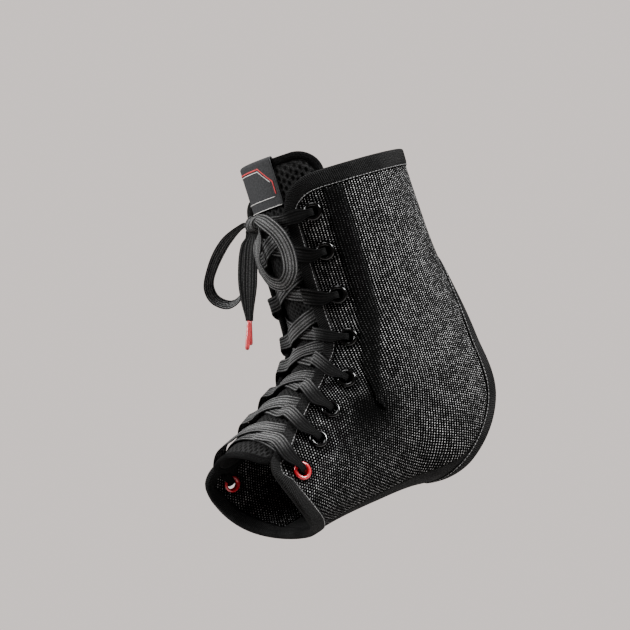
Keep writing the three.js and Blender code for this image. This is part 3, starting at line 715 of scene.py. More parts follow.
def turns(pitch: float) -> float:
    """Radians a metre of a wave whose pitch is in millimetres."""
    return 2 * math.pi / (pitch * MM)


@dataclass(frozen=True)
class WovenFinish:
    """Open woven mesh: black ground with rows of pale yarn floats, staggered from column to column."""

    name: str = "woven mesh"
    column: float = 1.5
    row: float = 1.3
    waver: float = 0.9
    float_narrowness: float = 5.6
    float_shortness: float = 3.8
    ground: float = 0.0012
    yarn: float = 0.86
    bump: float = 0.28

    def material(self) -> bpy.types.Material:
        """Build the node material."""
        g = Graph(self.name)
        u, v, uv = g.flat()
        waver = g.math("SUBTRACT", g.noise(uv, 90.0, 1.0), 0.5)
        u = g.math("MULTIPLY_ADD", waver, self.waver * MM, u)
        u = g.times(u, 1 / (self.column * MM))
        v = g.times(v, 1 / (self.row * MM))
        column = g.math("FLOOR", u)
        v = g.math("MULTIPLY_ADD", g.math("PINGPONG", column, 1.0), 0.5, v)
        row = g.math("FLOOR", v)
        du = g.math("SUBTRACT", g.math("FRACT", u), 0.5)
        dv = g.math("SUBTRACT", g.math("FRACT", v), 0.5)
        far = g.math("ADD", g.math("POWER", g.times(du, self.float_narrowness), 2.0),
                     g.math("POWER", g.times(dv, self.float_shortness), 2.0))
        dot = g.ramp(far, 1.1, 0.5)
        cell = g.add("ShaderNodeCombineXYZ", {0: column, 1: row}).outputs[0]
        chance = g.add("ShaderNodeTexWhiteNoise", {"Vector": cell}, noise_dimensions="2D").outputs[0]
        patch = g.ramp(g.noise(uv, 75.0, 3.0), 0.32, 0.68, 0.65, 1.1)
        light = g.times(g.ramp(chance, 0.1, 0.9, 0.25, 1.0), patch)
        # the shade attribute paints light and shade onto the yarn floats
        thread = g.times(dot, g.times(light, g.shade()))
        colour = g.mix(thread, grey(self.ground), grey(self.yarn))
        g.bump(g.math("ADD", g.times(dot, 0.75), g.times(chance, 0.2)), self.bump)
        return g.coat(colour, g.ramp(thread, 0.0, 1.0, 0.9, 0.62), Specular_IOR_Level=0.02)


@dataclass(frozen=True)
class RibbedFinish:
    """Knit binding tape: fine ribs across it, a soft nap and uneven dye."""

    name: str
    ground: float
    high: float
    rib: float = 1.15
    cross_rib: float = 0.85
    lean: float = 0.25
    bump: float = 0.3

    def material(self) -> bpy.types.Material:
        """Build the node material."""
        g = Graph(self.name)
        u, v, uv = g.flat()
        slant = g.math("MULTIPLY_ADD", v, self.lean, u)
        rib = g.ramp(g.wave(slant, turns(self.rib)), -0.6, 0.9)
        cross = g.ramp(g.wave(v, turns(self.cross_rib)), -0.7, 0.8)
        knit = g.times(rib, g.math("MULTIPLY_ADD", cross, 0.5, 0.5))
        fleck = g.fleck(uv, 1500.0, 0.4, 0.72)
        patch = g.ramp(g.noise(g.place(), 55.0), 0.3, 0.7, 0.55, 1.1)
        light = g.times(g.math("MULTIPLY_ADD", fleck, 0.5, g.times(knit, 0.6)), patch)
        light = g.times(light, g.shade())
        colour = g.mix(light, grey(self.ground), grey(self.high))
        g.bump(g.math("MULTIPLY_ADD", fleck, 0.25, knit), self.bump)
        return g.coat(colour, 0.85, Specular_IOR_Level=0.03)


@dataclass(frozen=True)
class KnitFinish:
    """Plain close knit of the gussets and the tongue's border."""

    name: str
    ground: float
    high: float
    stitch: float = 0.9
    bump: float = 0.14

    def material(self) -> bpy.types.Material:
        """Build the node material."""
        g = Graph(self.name)
        u, v, uv = g.flat()
        turn = turns(self.stitch)
        column = g.ramp(g.wave(u, turn), -0.7, 0.9)
        bent = g.math("MULTIPLY_ADD", v, turn * 1.3, g.times(column, 2.0))
        loop = g.ramp(g.math("SINE", bent), -0.5, 0.9)
        fleck = g.fleck(uv, 1300.0, 0.38, 0.7)
        knit = g.times(column, loop)
        patch = g.ramp(g.noise(g.place(), 60.0), 0.3, 0.7, 0.6, 1.1)
        light = g.times(g.math("MULTIPLY_ADD", fleck, 0.45, g.times(knit, 0.5)), patch)
        colour = g.mix(light, grey(self.ground), grey(self.high))
        g.bump(g.math("MULTIPLY_ADD", fleck, 0.3, knit), self.bump)
        return g.coat(colour, 0.88, Specular_IOR_Level=0.03)


@dataclass(frozen=True)
class SpacerFinish:
    """Spacer mesh of the tongue: matt black threads round open cells that are deeper, with painted shade in
    the cells from the shade attribute.
    """

    name: str = "spacer mesh"
    ground: float = 0.0015
    high: float = 0.05

    def material(self) -> bpy.types.Material:
        """Build the node material."""
        g = Graph(self.name)
        _, _, uv = g.flat()
        fleck = g.fleck(uv, 1800.0, 0.42, 0.7)
        # the shade attribute paints shade into the open cells
        thread = g.times(g.math("MULTIPLY_ADD", fleck, 0.6, 0.35), g.shade())
        colour = g.mix(thread, grey(self.ground), grey(self.high))
        g.bump(fleck, 0.1)
        return g.coat(colour, 0.8, Specular_IOR_Level=0.03)


@dataclass(frozen=True)
class LaceFinish:
    """Flat woven lace: a fine diagonal weave over its ribs, whose tops carry a painted highlight from the
    shade attribute.
    """

    name: str = "lace"
    pitch: float = 0.95
    ground: float = 0.002
    high: float = 0.46

    def material(self) -> bpy.types.Material:
        """Build the node material."""
        g = Graph(self.name)
        u, v, uv = g.flat()
        one, two = (g.wave(g.math(sign, u, v), turns(self.pitch)) for sign in ("ADD", "SUBTRACT"))
        weave = g.ramp(g.times(one, two), -0.25, 0.7)
        fleck = g.fleck(uv, 1600.0, 0.4, 0.7)
        # the shade attribute brings the painted highlight on the rib tops and the painted shade near the
        # eyelets
        light = g.times(g.math("MULTIPLY_ADD", fleck, 0.35, g.times(weave, 0.55)), g.shade())
        colour = g.mix(light, grey(self.ground), grey(self.high))
        g.bump(weave, 0.16)
        return g.coat(colour, 0.72, Specular_IOR_Level=0.04)


@dataclass(frozen=True)
class ThreadFinish:
    """Twisted sewing thread."""

    name: str
    tone: float

    def material(self) -> bpy.types.Material:
        """Build the node material."""
        g = Graph(self.name)
        place = g.place()
        fleck = g.fleck(place, 1400.0, 0.3, 0.7)
        patch = g.ramp(g.noise(place, 70.0), 0.35, 0.65, 0.35, 1.0)
        colour = g.mix(g.times(fleck, patch), grey(self.tone * 0.3), grey(self.tone))
        g.bump(fleck, 0.08)
        return g.coat(colour, 0.6, Specular_IOR_Level=0.3)


@dataclass(frozen=True)
class LabelFinish:
    """Close woven label tape in dark grey."""

    name: str = "label tape"
    pitch: float = 0.5
    dark: tuple[float, float, float] = (0.014, 0.0144, 0.015)
    pale: tuple[float, float, float] = (0.058, 0.059, 0.062)

    def material(self) -> bpy.types.Material:
        """Build the node material."""
        g = Graph(self.name)
        u, v, uv = g.flat()
        turn = turns(self.pitch)
        weft = g.ramp(g.wave(v, turn), -0.8, 0.8)
        warp = g.ramp(g.wave(u, turn * 0.6), -0.8, 0.8)
        both = g.math("ADD", weft, warp)
        fleck = g.ramp(g.noise(uv, 900.0, 3.0), 0.35, 0.7)
        light = g.math("MULTIPLY_ADD", fleck, 0.4, g.times(both, 0.3))
        colour = g.mix(light, rgb(*self.dark), rgb(*self.pale))
        g.bump(both, 0.05)
        return g.coat(colour, 0.7, Specular_IOR_Level=0.2)


@dataclass(frozen=True)
class MouldedFinish:
    """Glossy enamel or moulded plastic with faint unevenness and worn, duller spots."""

    name: str
    colour: tuple[float, float, float, float]
    roughness: float
    metal: float = 0.0
    coat_weight: float = 0.5

    def material(self) -> bpy.types.Material:
        """Build the node material."""
        g = Graph(self.name)
        place = g.place()
        wear = g.ramp(g.noise(place, 420.0, 4.0), 0.45, 0.75)
        dark = tuple(0.72 * c for c in self.colour[:3]) + (1.0,)
        colour = g.mix(wear, self.colour, dark)
        rough = g.ramp(wear, 0.0, 1.0, self.roughness, self.roughness + 0.16)
        g.bump(g.noise(place, 650.0), 0.03)
        return g.coat(colour, rough, Metallic=self.metal, Coat_Weight=self.coat_weight, Coat_Roughness=0.12)


@dataclass(frozen=True)
class StudioFinish:
    """Plain pale paper of the floor."""

    name: str = "studio paper"
    tone: tuple[float, float, float, float] = (0.60, 0.575, 0.56, 1.0)

    def material(self) -> bpy.types.Material:
        """Build the node material."""
        return Graph(self.name).coat(self.tone, 0.9)


class Finishes:
    """Every material of the brace, made once."""

    def __init__(self) -> None:
        """Build the materials."""
        self.woven = WovenFinish().material()
        self.pocket = WovenFinish(name="pocket mesh", yarn=0.08, ground=0.002).material()
        self.rim_tape = RibbedFinish("binding tape", 0.002, 0.036).material()
        self.knit = KnitFinish("plain knit", 0.004, 0.045).material()
        self.border = KnitFinish("tongue border knit", 0.002, 0.022, stitch=0.8).material()
        self.spacer = SpacerFinish().material()
        self.lace = LaceFinish().material()
        self.thread = ThreadFinish("pale thread", 0.5).material()
        self.label = LabelFinish().material()
        red, white, black = rgb(0.62, 0.04, 0.045), rgb(0.7, 0.68, 0.66), grey(0.0015)
        self.red_thread = MouldedFinish("red label thread", red, 0.7, coat_weight=0.0).material()
        self.white_thread = MouldedFinish("white label thread", white, 0.7, coat_weight=0.0).material()
        self.black_eyelet = MouldedFinish("black eyelet", black, 0.12, coat_weight=0.0).material()
        self.red_eyelet = MouldedFinish("red eyelet", rgb(0.55, 0.008, 0.02), 0.24).material()
        self.aglet = MouldedFinish("aglet", rgb(0.72, 0.075, 0.085), 0.3).material()


@dataclass(frozen=True)
class Stitches:
    """A line of separate stitches along a path on the form."""

    pitch: float = 2.2
    length: float = 2.1
    thickness: float = 0.38

    def build(self, bm: bmesh.types.BMesh, line: Points, normals: Points) -> None:
        """Add the stitches of one line.

        Args:
            bm: The mesh that takes them.
            line: Points along the seam, in millimetres.
            normals: The cloth's normal at each point.
        """
        count = max(2, int(length_of(line) / self.pitch))
        rows = evenly(np.hstack([line, normals]), 2 * count + 1)
        for before, middle, after in zip(rows[:-2:2], rows[1:-1:2], rows[2::2]):
            along = Vector(after[:3] - before[:3]).normalized()
            up = Vector(middle[3:]).normalized()
            across = up.cross(along).normalized()
            turn = Matrix((along, across, along.cross(across))).transposed().to_4x4()
            size = Vector((self.length / 2, self.thickness / 2, self.thickness / 2)) * MM
            place = Matrix.Translation(Vector(middle[:3]) * MM) @ turn @ Matrix.Diagonal(size.to_4d())
            place[3][3] = 1.0
            bmesh.ops.create_uvsphere(bm, u_segments=6, v_segments=5, radius=1.0, matrix=place)


@dataclass
class SidePanel:
    """One woven side with its eyelet holes. Its lights say how bright the pale yarns show, 0 to 1, and hold
    painted light behind the stay and painted shade in front of the ankle.
    """

    side: Side
    columns: int = 92
    rows: int = 250
    hole_radius: float = 4.35
    light: float = 0.48
    # painted light on the rear panel behind the stay, and painted shade on the cloth in front of and below
    # the ankle
    painted_light_behind_stay: float = 0.42
    painted_shade_in_front: float = 0.3
    eyelet_light: float = 0.42
    eyelet_light_radius: float = 9.5
    eyelet_light_width: float = 2.2
    # place of the painted shadow in the fold in front of the ankle
    fold_shadow_section: float = 7.95
    fold_shadow_angle: float = 90.0

    def row_place(self, across: Points, along: Points) -> tuple[Points, Points]:
        """Sections and angles, on the right side, of shares across and along the panel."""
        row = RIM + (FOOT - RIM) * along
        front = lacing_edge(row)
        seam = SEAM_ANGLE - FORM.degrees_for(SEAM_GAP / 2, row, SEAM_ANGLE)
        back = np.minimum(seam, 180 - heel_hole_angle(row))
        angle = front + (back - front) * across
        return cloth_section(row, angle), angle

    def place(self, across: Points, along: Points) -> Points:
        """Points of the panel's outer face."""
        section, angle = self.row_place(across, along)
        return FORM.point(section, self.side.angle(angle), PANEL_OUTSIDE - relief(section, angle))

    def flat(self, across: Points, along: Points) -> Points:
        """The flat pattern's coordinates."""
        return FORM.flat(*self.row_place(across, along))

    def shade(self, across: Points, along: Points) -> Points:
        """How bright the pale yarns show, as painted light and shade: most behind the stay, where light is
        painted, least in the folds in front of the ankle, where shadow is painted.
        """
        section, angle = self.row_place(across, along)
        stay = smooth_value(POCKET_BACK, section - 1)
        # painted light behind the stay, with painted shade towards the back seam
        behind = smoothstep(-2, 3, angle - stay) * (1 - 0.5 * smoothstep(105, 138, angle))
        low = smoothstep(6.9, 8.2, section)
        # painted shade on the low front of the panel
        front = smoothstep(6, 7.4, section) * (1 - smoothstep(80, 100, angle))
        light = self.light + self.painted_light_behind_stay * behind * (1 - low) - self.painted_shade_in_front * front
        for at, turn in EYELETS:
            near = distance(FORM.skin(section, angle), FORM.skin(at, turn))
            ring = (near - self.eyelet_light_radius) / self.eyelet_light_width
            light = light + self.eyelet_light * bell(ring)
        # painted shadow in the fold in front of the ankle
        fold = bell((section - self.fold_shadow_section) / 1.2, (angle - self.fold_shadow_angle) / 15)
        return np.clip(light * (1 - 0.97 * fold), 0.01, 1.2)

    def cut_holes(self, bm: bmesh.types.BMesh) -> None:
        """Cut a round hole for each eyelet and draw its edge onto a circle."""
        for section, angle in EYELETS:
            turn = float(self.side.angle(angle))
            middle = Vector(FORM.point(section, turn, PANEL_OUTSIDE) * MM)
            normal = Vector(FORM.normal(np.float64(section), np.float64(turn)))
            reach = self.hole_radius * MM
            inside = [v for v in bm.verts if (v.co - middle).length < 0.93 * reach]
            bmesh.ops.delete(bm, geom=inside, context="VERTS")
            for vert in bm.verts:
                away = vert.co - middle
                if away.length < 1.7 * reach and vert.is_boundary:
                    flat = away - normal * away.dot(normal)
                    vert.co = vert.co + flat.normalized() * (reach - flat.length)

    def build(self, finishes: Finishes) -> bpy.types.Object:
        """Build the panel."""
        bm = grid(self.columns, self.rows, self.place, self.flat, self.shade)
        self.cut_holes(bm)
        face_along(bm, (self.side.value, 0, 0))
        name = f"woven_side_{self.side.label}"
        piece = finished(name, bm, finishes.woven, [f"side_panel_{self.side.label}"])
        thicken(piece, PANEL_THICKNESS)
        return piece


@dataclass
class StayPocket:
    """The dark band over the stay, ending in a point by the heel."""

    side: Side
    columns: int = 14
    rows: int = 180
    top_gap: float = 0.03
    lift: float = 0.1

    def row_place(self, across: Points, along: Points) -> tuple[Points, Points]:
        """Sections and angles, on the right side, of shares across and along the pocket."""
        top = RIM + RIM_BINDING_WIDTH / SECTION_LENGTH + self.top_gap
        row = top + (POCKET_END - top) * along
        front = smooth_value(POCKET_FRONT, row - 1)
        back = smooth_value(POCKET_BACK, row - 1)
        return row, front + (back - front) * across

    def place(self, across: Points, along: Points) -> Points:
        """Points of the pocket's outer face, crowned over the stay."""
        section, angle = self.row_place(across, along)
        crown = POCKET_THICKNESS * (1 - np.abs(2 * across - 1) ** 4) * smoothstep(0, 0.015, along)
        crown = crown * (0.75 + 0.25 * smoothstep(1, 0.97, along))
        height = PANEL_OUTSIDE + self.lift - relief(section, angle) + crown
        return FORM.point(section, self.side.angle(angle), height + LAYER_GAP)

    def flat(self, across: Points, along: Points) -> Points:
        """The flat pattern's coordinates."""
        return FORM.flat(*self.row_place(across, along))

    def shade(self, across: Points, along: Points) -> Points:
        """Pale yarns show a little at the band's front edge and less in its middle."""
        return 0.55 + 0.45 * np.abs(2 * across - 1)

    def build(self, finishes: Finishes) -> bpy.types.Object:
        """Build the pocket."""
        bm = grid(self.columns, self.rows, self.place, self.flat, self.shade)
        face_along(bm, (self.side.value, 0, 0))
        name = f"stay_band_{self.side.label}"
        piece = finished(name, bm, finishes.pocket, [f"stay_pocket_{self.side.label}"])
        thicken(piece, POCKET_THICKNESS)
        return piece


@dataclass
class Gusset:
    """The plain knit piece up the back, or the one under the foot, that joins the two sides."""

    name: str
    node: str
    first: float
    last: float
    hole_row: float
    direction: float
    outward: tuple[float, float, float]
    columns: int = 44
    rows: int = 110
    seam_depth: float = 0.5

    def row_place(self, across: Points, along: Points) -> tuple[Points, Points]:
        """Sections and angles of shares across and along the gusset."""
        row = self.first + (self.last - self.first) * along
        far = self.last if self.first == self.hole_row else self.first
        half = 180 - SEAM_ANGLE - FORM.degrees_for(SEAM_GAP / 2, row, SEAM_ANGLE)
        angle = 180 + HEEL_HOLE_ANGLE * np.sin(np.arcsin(half / HEEL_HOLE_ANGLE) * (2 * across - 1))
        reach = heel_hole_reach(angle) + 0.02
        slack = HEEL_HOLE_MIDDLE + self.direction * reach - self.hole_row
        return row + slack * (row - far) / (self.hole_row - far), angle

    def place(self, across: Points, along: Points) -> Points:
        """Points of the gusset's outer face."""
        section, angle = self.row_place(across, along)
        section = cloth_section(section, angle)
        seam = self.seam_depth * bell((1 - np.abs(2 * across - 1)) / 0.035)
        return FORM.point(section, angle, PANEL_OUTSIDE - seam - relief(section, angle))

    def flat(self, across: Points, along: Points) -> Points:
        """Arc lengths across and along, in metres."""
        section, angle = self.row_place(across, along)
        wide = np.linalg.norm(FORM.tangents(section, angle)[1], axis=-1) * (angle - 180)
        return np.stack([wide, SECTION_LENGTH * section], axis=-1) * MM

    def build(self, finishes: Finishes) -> bpy.types.Object:
        """Build the gusset."""
        bm = grid(self.columns, self.rows, self.place, self.flat)
        face_along(bm, self.outward)
        piece = finished(self.name, bm, finishes.knit, [self.node])
        thicken(piece, PANEL_THICKNESS)
        return piece


@dataclass
class Binding:
    """A tape folded round a cloth edge and sewn down, closed into a ring."""

    name: str
    node: str
    section: Points
    angle: Points
    width: Points

    def travel(self) -> Points:
        """The path's direction at each place, as (section, angle) rows."""
        turned = np.unwrap(self.angle, period=360)
        ds = np.roll(self.section, -1) - np.roll(self.section, 1)
        da = np.roll(turned, -1) - np.roll(turned, 1)
        da = (da + 180) % 360 - 180
        return np.stack([ds, da], axis=-1)

    def profile(self) -> Points:
        """The tape's section.

        Returns:
            Rows of a share of the width inwards, a length outwards, and a height above the cloth's middle.
        """
        half = PANEL_THICKNESS / 2
        outer = half + BINDING_GAP + BINDING_THICKNESS - 0.1
        legs = np.linspace(1, 0.08, 7)
        hem = half + 0.15
        top = [(x, 0.0, hem + (outer - half - 0.15) * min(1.0, 3.2 * (1 - x)) ** 0.5) for x in legs]
        turn = np.radians(np.linspace(75, -75, 7))
        fold = [(0.0, -(BINDING_GAP + BINDING_THICKNESS) * math.cos(t), outer * math.sin(t)) for t in turn]
        low = [(x, 0.0, -h) for x, _, h in reversed(top)]
        inner = half + 0.04
        back = [(x, 0.0, -inner) for x in (0.97, 0.5, 0.1)]
        inside = [(0.0, -0.1, -inner * 0.6), (0.0, -0.1, inner * 0.6)]
        front = [(x, 0.0, inner) for x in (0.1, 0.5, 0.97)]
        return np.array(top + fold + low + back + inside + front)

    def station(self, along: Points) -> tuple[Points, Points, Points, Points]:
        """Sections, angles, directions and widths at shares along the path."""
        count = len(self.section)
        i = np.round(np.asarray(along) * count).astype(int) % count
        return self.section[i], self.angle[i], self.travel()[i], self.width[i]

    def place(self, across: Points, along: Points) -> Points:
        """Points of the tape."""
        shape = self.profile()
        k = np.round(across * len(shape)).astype(int) % len(shape)
        section, angle, travel, width = self.station(along)
        inward = shape[k, 0] * width + shape[k, 1]
        at, turn = FORM.step_across(section, angle, travel, inward)
        middle = PANEL_INSIDE + PANEL_THICKNESS / 2
        slack = relief(at, turn) * smoothstep(0.0, 1.0, shape[k, 0])
        return FORM.point(at, turn, middle + shape[k, 2] - slack)

    def flat(self, across: Points, along: Points) -> Points:
        """Length along the path and across the tape, in metres."""
        line = FORM.point(self.section, self.angle, PANEL_OUTSIDE)
        ring = np.vstack([line, line[:1]])
        total = running_length(ring)
        shape = self.profile()
        k = np.round(across * len(shape)).astype(int) % len(shape)
        return np.stack([np.interp(along * len(line), np.arange(len(ring)), total),
                         shape[k, 0] * 8 + shape[k, 2]], axis=-1) * MM

    def seam(self, inset: float) -> tuple[Points, Points]:
        """Points and normals of the stitch line on the tape's outer leg, a length in from its edge."""
        at, turn = FORM.step_across(self.section, self.angle, self.travel(), self.width - inset)
        height = PANEL_OUTSIDE + SEAM_HEIGHT - relief(at, turn)
        return FORM.point(at, turn, height), FORM.normal(at, turn)

    def build(self, finishes: Finishes) -> bpy.types.Object:
        """Build the tape."""
        bm = grid(len(self.profile()), len(self.section), self.place, self.flat)
        close_round(bm)
        return finished(self.name, bm, finishes.rim_tape, [self.node])


def outer_edge_path() -> tuple[Points, Points, Points]:
    """The path round the brace's whole outer edge, from the back of the rim and round again.

    Returns:
        Sections, angles and binding widths of its places.
    """
    share = np.linspace(0, 1, 230)
    rows = RIM + (FOOT - RIM) * (0.5 - 0.5 * np.cos(np.pi * share)) * 0.6 + (FOOT - RIM) * share * 0.4
    lacing = lacing_edge(rows)
    rim_share = np.maximum(0, 1 - (rows - RIM) / 0.6)
    lacing_width = LACING_BINDING_WIDTH + (RIM_BINDING_WIDTH - LACING_BINDING_WIDTH) * rim_share
    corner = smoothstep(0.35, 0.1, FOOT - rows)
    lacing_width = lacing_width - 1.2 * corner
    foot = np.linspace(lacing[-1], 360 - lacing[-1], 202)[1:-1]
    from_corner = np.minimum(foot - lacing[-1], 360 - lacing[-1] - foot)
    foot_width = FOOT_BINDING_WIDTH - 2.4 * smoothstep(12, 0, from_corner)
    rim = np.linspace(180, lacing[0], 101)[:-1]
    section = np.concatenate([
        np.full(100, RIM), cloth_section(rows, lacing), foot_edge(foot),
        cloth_section(rows, lacing)[::-1], np.full(99, RIM)])
    angle = np.concatenate([rim, lacing, foot, (360 - lacing)[::-1], (360 - rim)[::-1][:-1]])
    width = np.concatenate([
        np.full(100, RIM_BINDING_WIDTH), lacing_width, foot_width,
        lacing_width[::-1], np.full(99, RIM_BINDING_WIDTH)])
    return section, angle, width


def heel_edge_path() -> tuple[Points, Points, Points]:
    """The path round the heel opening.

    Returns:
        Sections, angles and binding widths of its places.
    """
    turn = np.linspace(0, 2 * np.pi, 220, endpoint=False)
    section = HEEL_HOLE_MIDDLE - HEEL_HOLE_REACH * np.cos(turn)
    angle = 180 + HEEL_HOLE_ANGLE * np.sin(turn)
    return section, angle, np.full(len(turn), HEEL_BINDING_WIDTH)


@dataclass
class Shell:
    """The brace's cloth shell: sides, pockets, gussets, bindings and their stitching."""

    def build(self, finishes: Finishes) -> None:
        """Build every piece of the shell."""
        for side in Side:
            panel = SidePanel(side).build(finishes)
            declare_sheet(panel)
            declare_sheet(StayPocket(side).build(finishes))
        reach = float(heel_hole_reach(SEAM_ANGLE))
        top, foot = HEEL_HOLE_MIDDLE - reach, HEEL_HOLE_MIDDLE + reach
        back = Gusset("knit_gusset_back", "back_gusset", RIM, top, top, -1, (0, 1, 0))
        sole = Gusset("knit_gusset_sole", "sole_gusset", foot, FOOT, foot, 1, (0, 0, -1))
        declare_sheet(back.build(finishes))
        declare_sheet(sole.build(finishes))
        edge = Binding("edge_tape", "edge_binding", *outer_edge_path())
        heel = Binding("heel_tape", "heel_binding", *heel_edge_path())
        edge.build(finishes)
        heel.build(finishes)
        self.stitch(edge, heel, finishes)

    def stitch(self, edge: Binding, heel: Binding, finishes: Finishes) -> None:
        """Sew the bindings down with a line of pale stitches near each tape's inner edge."""
        bm = bmesh.new()
        for tape in (edge, heel):
            line, normals = tape.seam(SEAM_INSET)
            Stitches().build(bm, np.vstack([line, line[:1]]), np.vstack([normals, normals[:1]]))
        finished("tape_stitches", bm, finishes.thread)


def declare_sheet(piece: bpy.types.Object) -> None:
    """Log the area of a sewn cloth piece's faces, in square millimetres."""
    LOG.info("%s: %.0f square mm of cloth", piece.name, sum(f.area for f in piece.data.polygons) / MM**2)


def tongue_place(row: Points, share: Points, inset: Points) -> tuple[Points, Points]:
    """A place on the tongue, given a row and a share of its half-width, its outline pulled in by an inset.

    Args:
        row: Row numbers, from TONGUE_TOP to TONGUE_FOOT.
        share: Shares of the half-width, -1 to 1.
        inset: Millimetres in from the outline.

    Returns:
        Sections and angles.
    """
    row, share, inset = arrays(row, share, inset)
    top, foot = (np.linalg.norm(FORM.tangents(end, 0.0)[0]) for end in (TONGUE_TOP, TONGUE_FOOT))
    first, last = TONGUE_TOP + inset / top, TONGUE_FOOT - inset / foot
    section = first + (last - first) * (row - TONGUE_TOP) / (TONGUE_FOOT - TONGUE_TOP)
    here = FORM.skin(section, TONGUE_QUARTER)
    pull = inset.copy()
    for end in (first, last):
        away = distance(here, FORM.skin(end, TONGUE_QUARTER))
        pull = pull + corner_pull(away, TONGUE_CORNER_RADIUS - inset)
    return section, share * (TONGUE_ANGLE - FORM.degrees_for(pull, section, TONGUE_QUARTER))


@dataclass
class Tongue:
    """The padded tongue: spacer mesh inside a smooth border, with a label folded over its top."""

    columns: int = 118
    rows: int = 330
    cell: float = 2.5
    cell_depth: float = 0.6
    degree: float = 0.68
    section: float = 19.5

    def cells(self, section: Points, angle: Points) -> Points:
        """Depth of the spacer mesh's open cells, 0 on the threads to 1 in a cell's middle."""
        u = angle * self.degree / self.cell
        v = section * self.section / (self.cell * 1.25)
        v = v + 0.5 * (np.floor(u) % 2)
        du, dv = np.abs(u % 1 - 0.5) * 2, np.abs(v % 1 - 0.5) * 2
        return smoothstep(0.95, 0.45, np.sqrt(du**2 + dv**2))

    def mesh_place(self, across: Points, along: Points) -> tuple[Points, Points]:
        """Sections and angles of shares across and along the mesh."""
        row = TONGUE_TOP + (TONGUE_FOOT - TONGUE_TOP) * along
        return tongue_place(row, 2 * across - 1, TONGUE_BINDING_WIDTH - 0.6)

    def place(self, across: Points, along: Points) -> Points:
        """Points of the mesh's outer face, with its open cells let in."""
        section, angle = self.mesh_place(across, along)
        edge = np.minimum(np.minimum(across, 1 - across) * 18, np.minimum(along, 1 - along) * 45)
        crown = smoothstep(-0.2, 1.0, edge)
        depth = self.cell_depth * self.cells(section, angle) * smoothstep(0.2, 1.0, edge)
        return FORM.point(section, angle, TONGUE_THICKNESS * (0.55 + 0.5 * crown) - depth)

    def back(self, across: Points, along: Points) -> Points:
        """Points of the mesh's inner face."""
        section, angle = self.mesh_place(across, along)
        return FORM.point(section, angle, 0.15 + 0 * across)

    def shade(self, across: Points, along: Points) -> Points:
        """Painted shade in the open cells: threads are brighter than cells."""
        section, angle = self.mesh_place(across, along)
        return 1 - 0.93 * self.cells(section, angle)

    def flat(self, across: Points, along: Points) -> Points:
        """Arc lengths across and along, in metres."""
        section, angle = self.mesh_place(across, along)
        return np.stack([angle * self.degree, section * self.section], axis=-1) * MM

    def build_mesh(self, finishes: Finishes) -> None:
        """Build the padded mesh: two faces joined round their edge."""
        bm = grid(self.columns, self.rows, self.place, self.flat, self.shade)
        merge(bm, grid(24, 80, self.back, self.flat, lambda a, c: 0 * a + 0.3))
        rims = [e for e in bm.edges if e.is_boundary]
        bmesh.ops.bridge_loops(bm, edges=rims)
        bmesh.ops.recalc_face_normals(bm, faces=bm.faces)
        piece = finished("tongue_pad", bm, finishes.spacer, ["tongue"])

    def border_route(self) -> tuple[Points, Points]:
        """Rows and shares of the border's outline, from the middle of the top and round again."""
        ends = np.linspace(0, 1, 26)[:-1]
        share = np.linspace(0, 1, 210)
        rows = TONGUE_TOP + (TONGUE_FOOT - TONGUE_TOP) * (0.5 - 0.5 * np.cos(np.pi * share))
        route = np.concatenate([
            np.stack([0 * ends + TONGUE_TOP, ends], axis=1),
            np.stack([rows, 0 * rows + 1], axis=1),
            np.stack([0 * ends + TONGUE_FOOT, ends[::-1]], axis=1),
            np.stack([0 * ends[1:] + TONGUE_FOOT, -ends[1:]], axis=1),
            np.stack([rows[::-1], 0 * rows - 1], axis=1),
            np.stack([0 * ends[1:] + TONGUE_TOP, -ends[1:][::-1]], axis=1),
        ])
        return route[:, 0], route[:, 1]

    def build_border(self, finishes: Finishes) -> None:
        """Build the rounded border round the mesh."""
        rows, shares = self.border_route()
        count, sides = len(rows), 14

        def place(across: Points, along: Points) -> Points:
            i = np.round(along * count).astype(int) % count
            turn = 2 * np.pi * across
            cos, sin = np.cos(turn), np.sin(turn)
            inset = TONGUE_BINDING_WIDTH / 2 * (1 - np.sign(cos) * np.abs(cos) ** 0.7)
            height = TONGUE_THICKNESS / 2 * (1 + 1.1 * np.sign(sin) * np.abs(sin) ** 0.7)
            section, angle = tongue_place(rows[i], shares[i], inset)
            return FORM.point(section, angle, height)

        line = FORM.point(*tongue_place(rows, shares, 0.0), 0.0)
        total = running_length(line)

        def flat(across: Points, along: Points) -> Points:
            return np.stack([np.interp(along * count, np.arange(count), total), across * 12], axis=-1) * MM

        bm = grid(sides, count, place, flat)
        close_round(bm)
        finished("tongue_border", bm, finishes.border, ["tongue_binding"])

    def build(self, finishes: Finishes) -> None:
        """Build the tongue and its label."""
        self.build_mesh(finishes)
        self.build_border(finishes)
        Label().build(finishes)


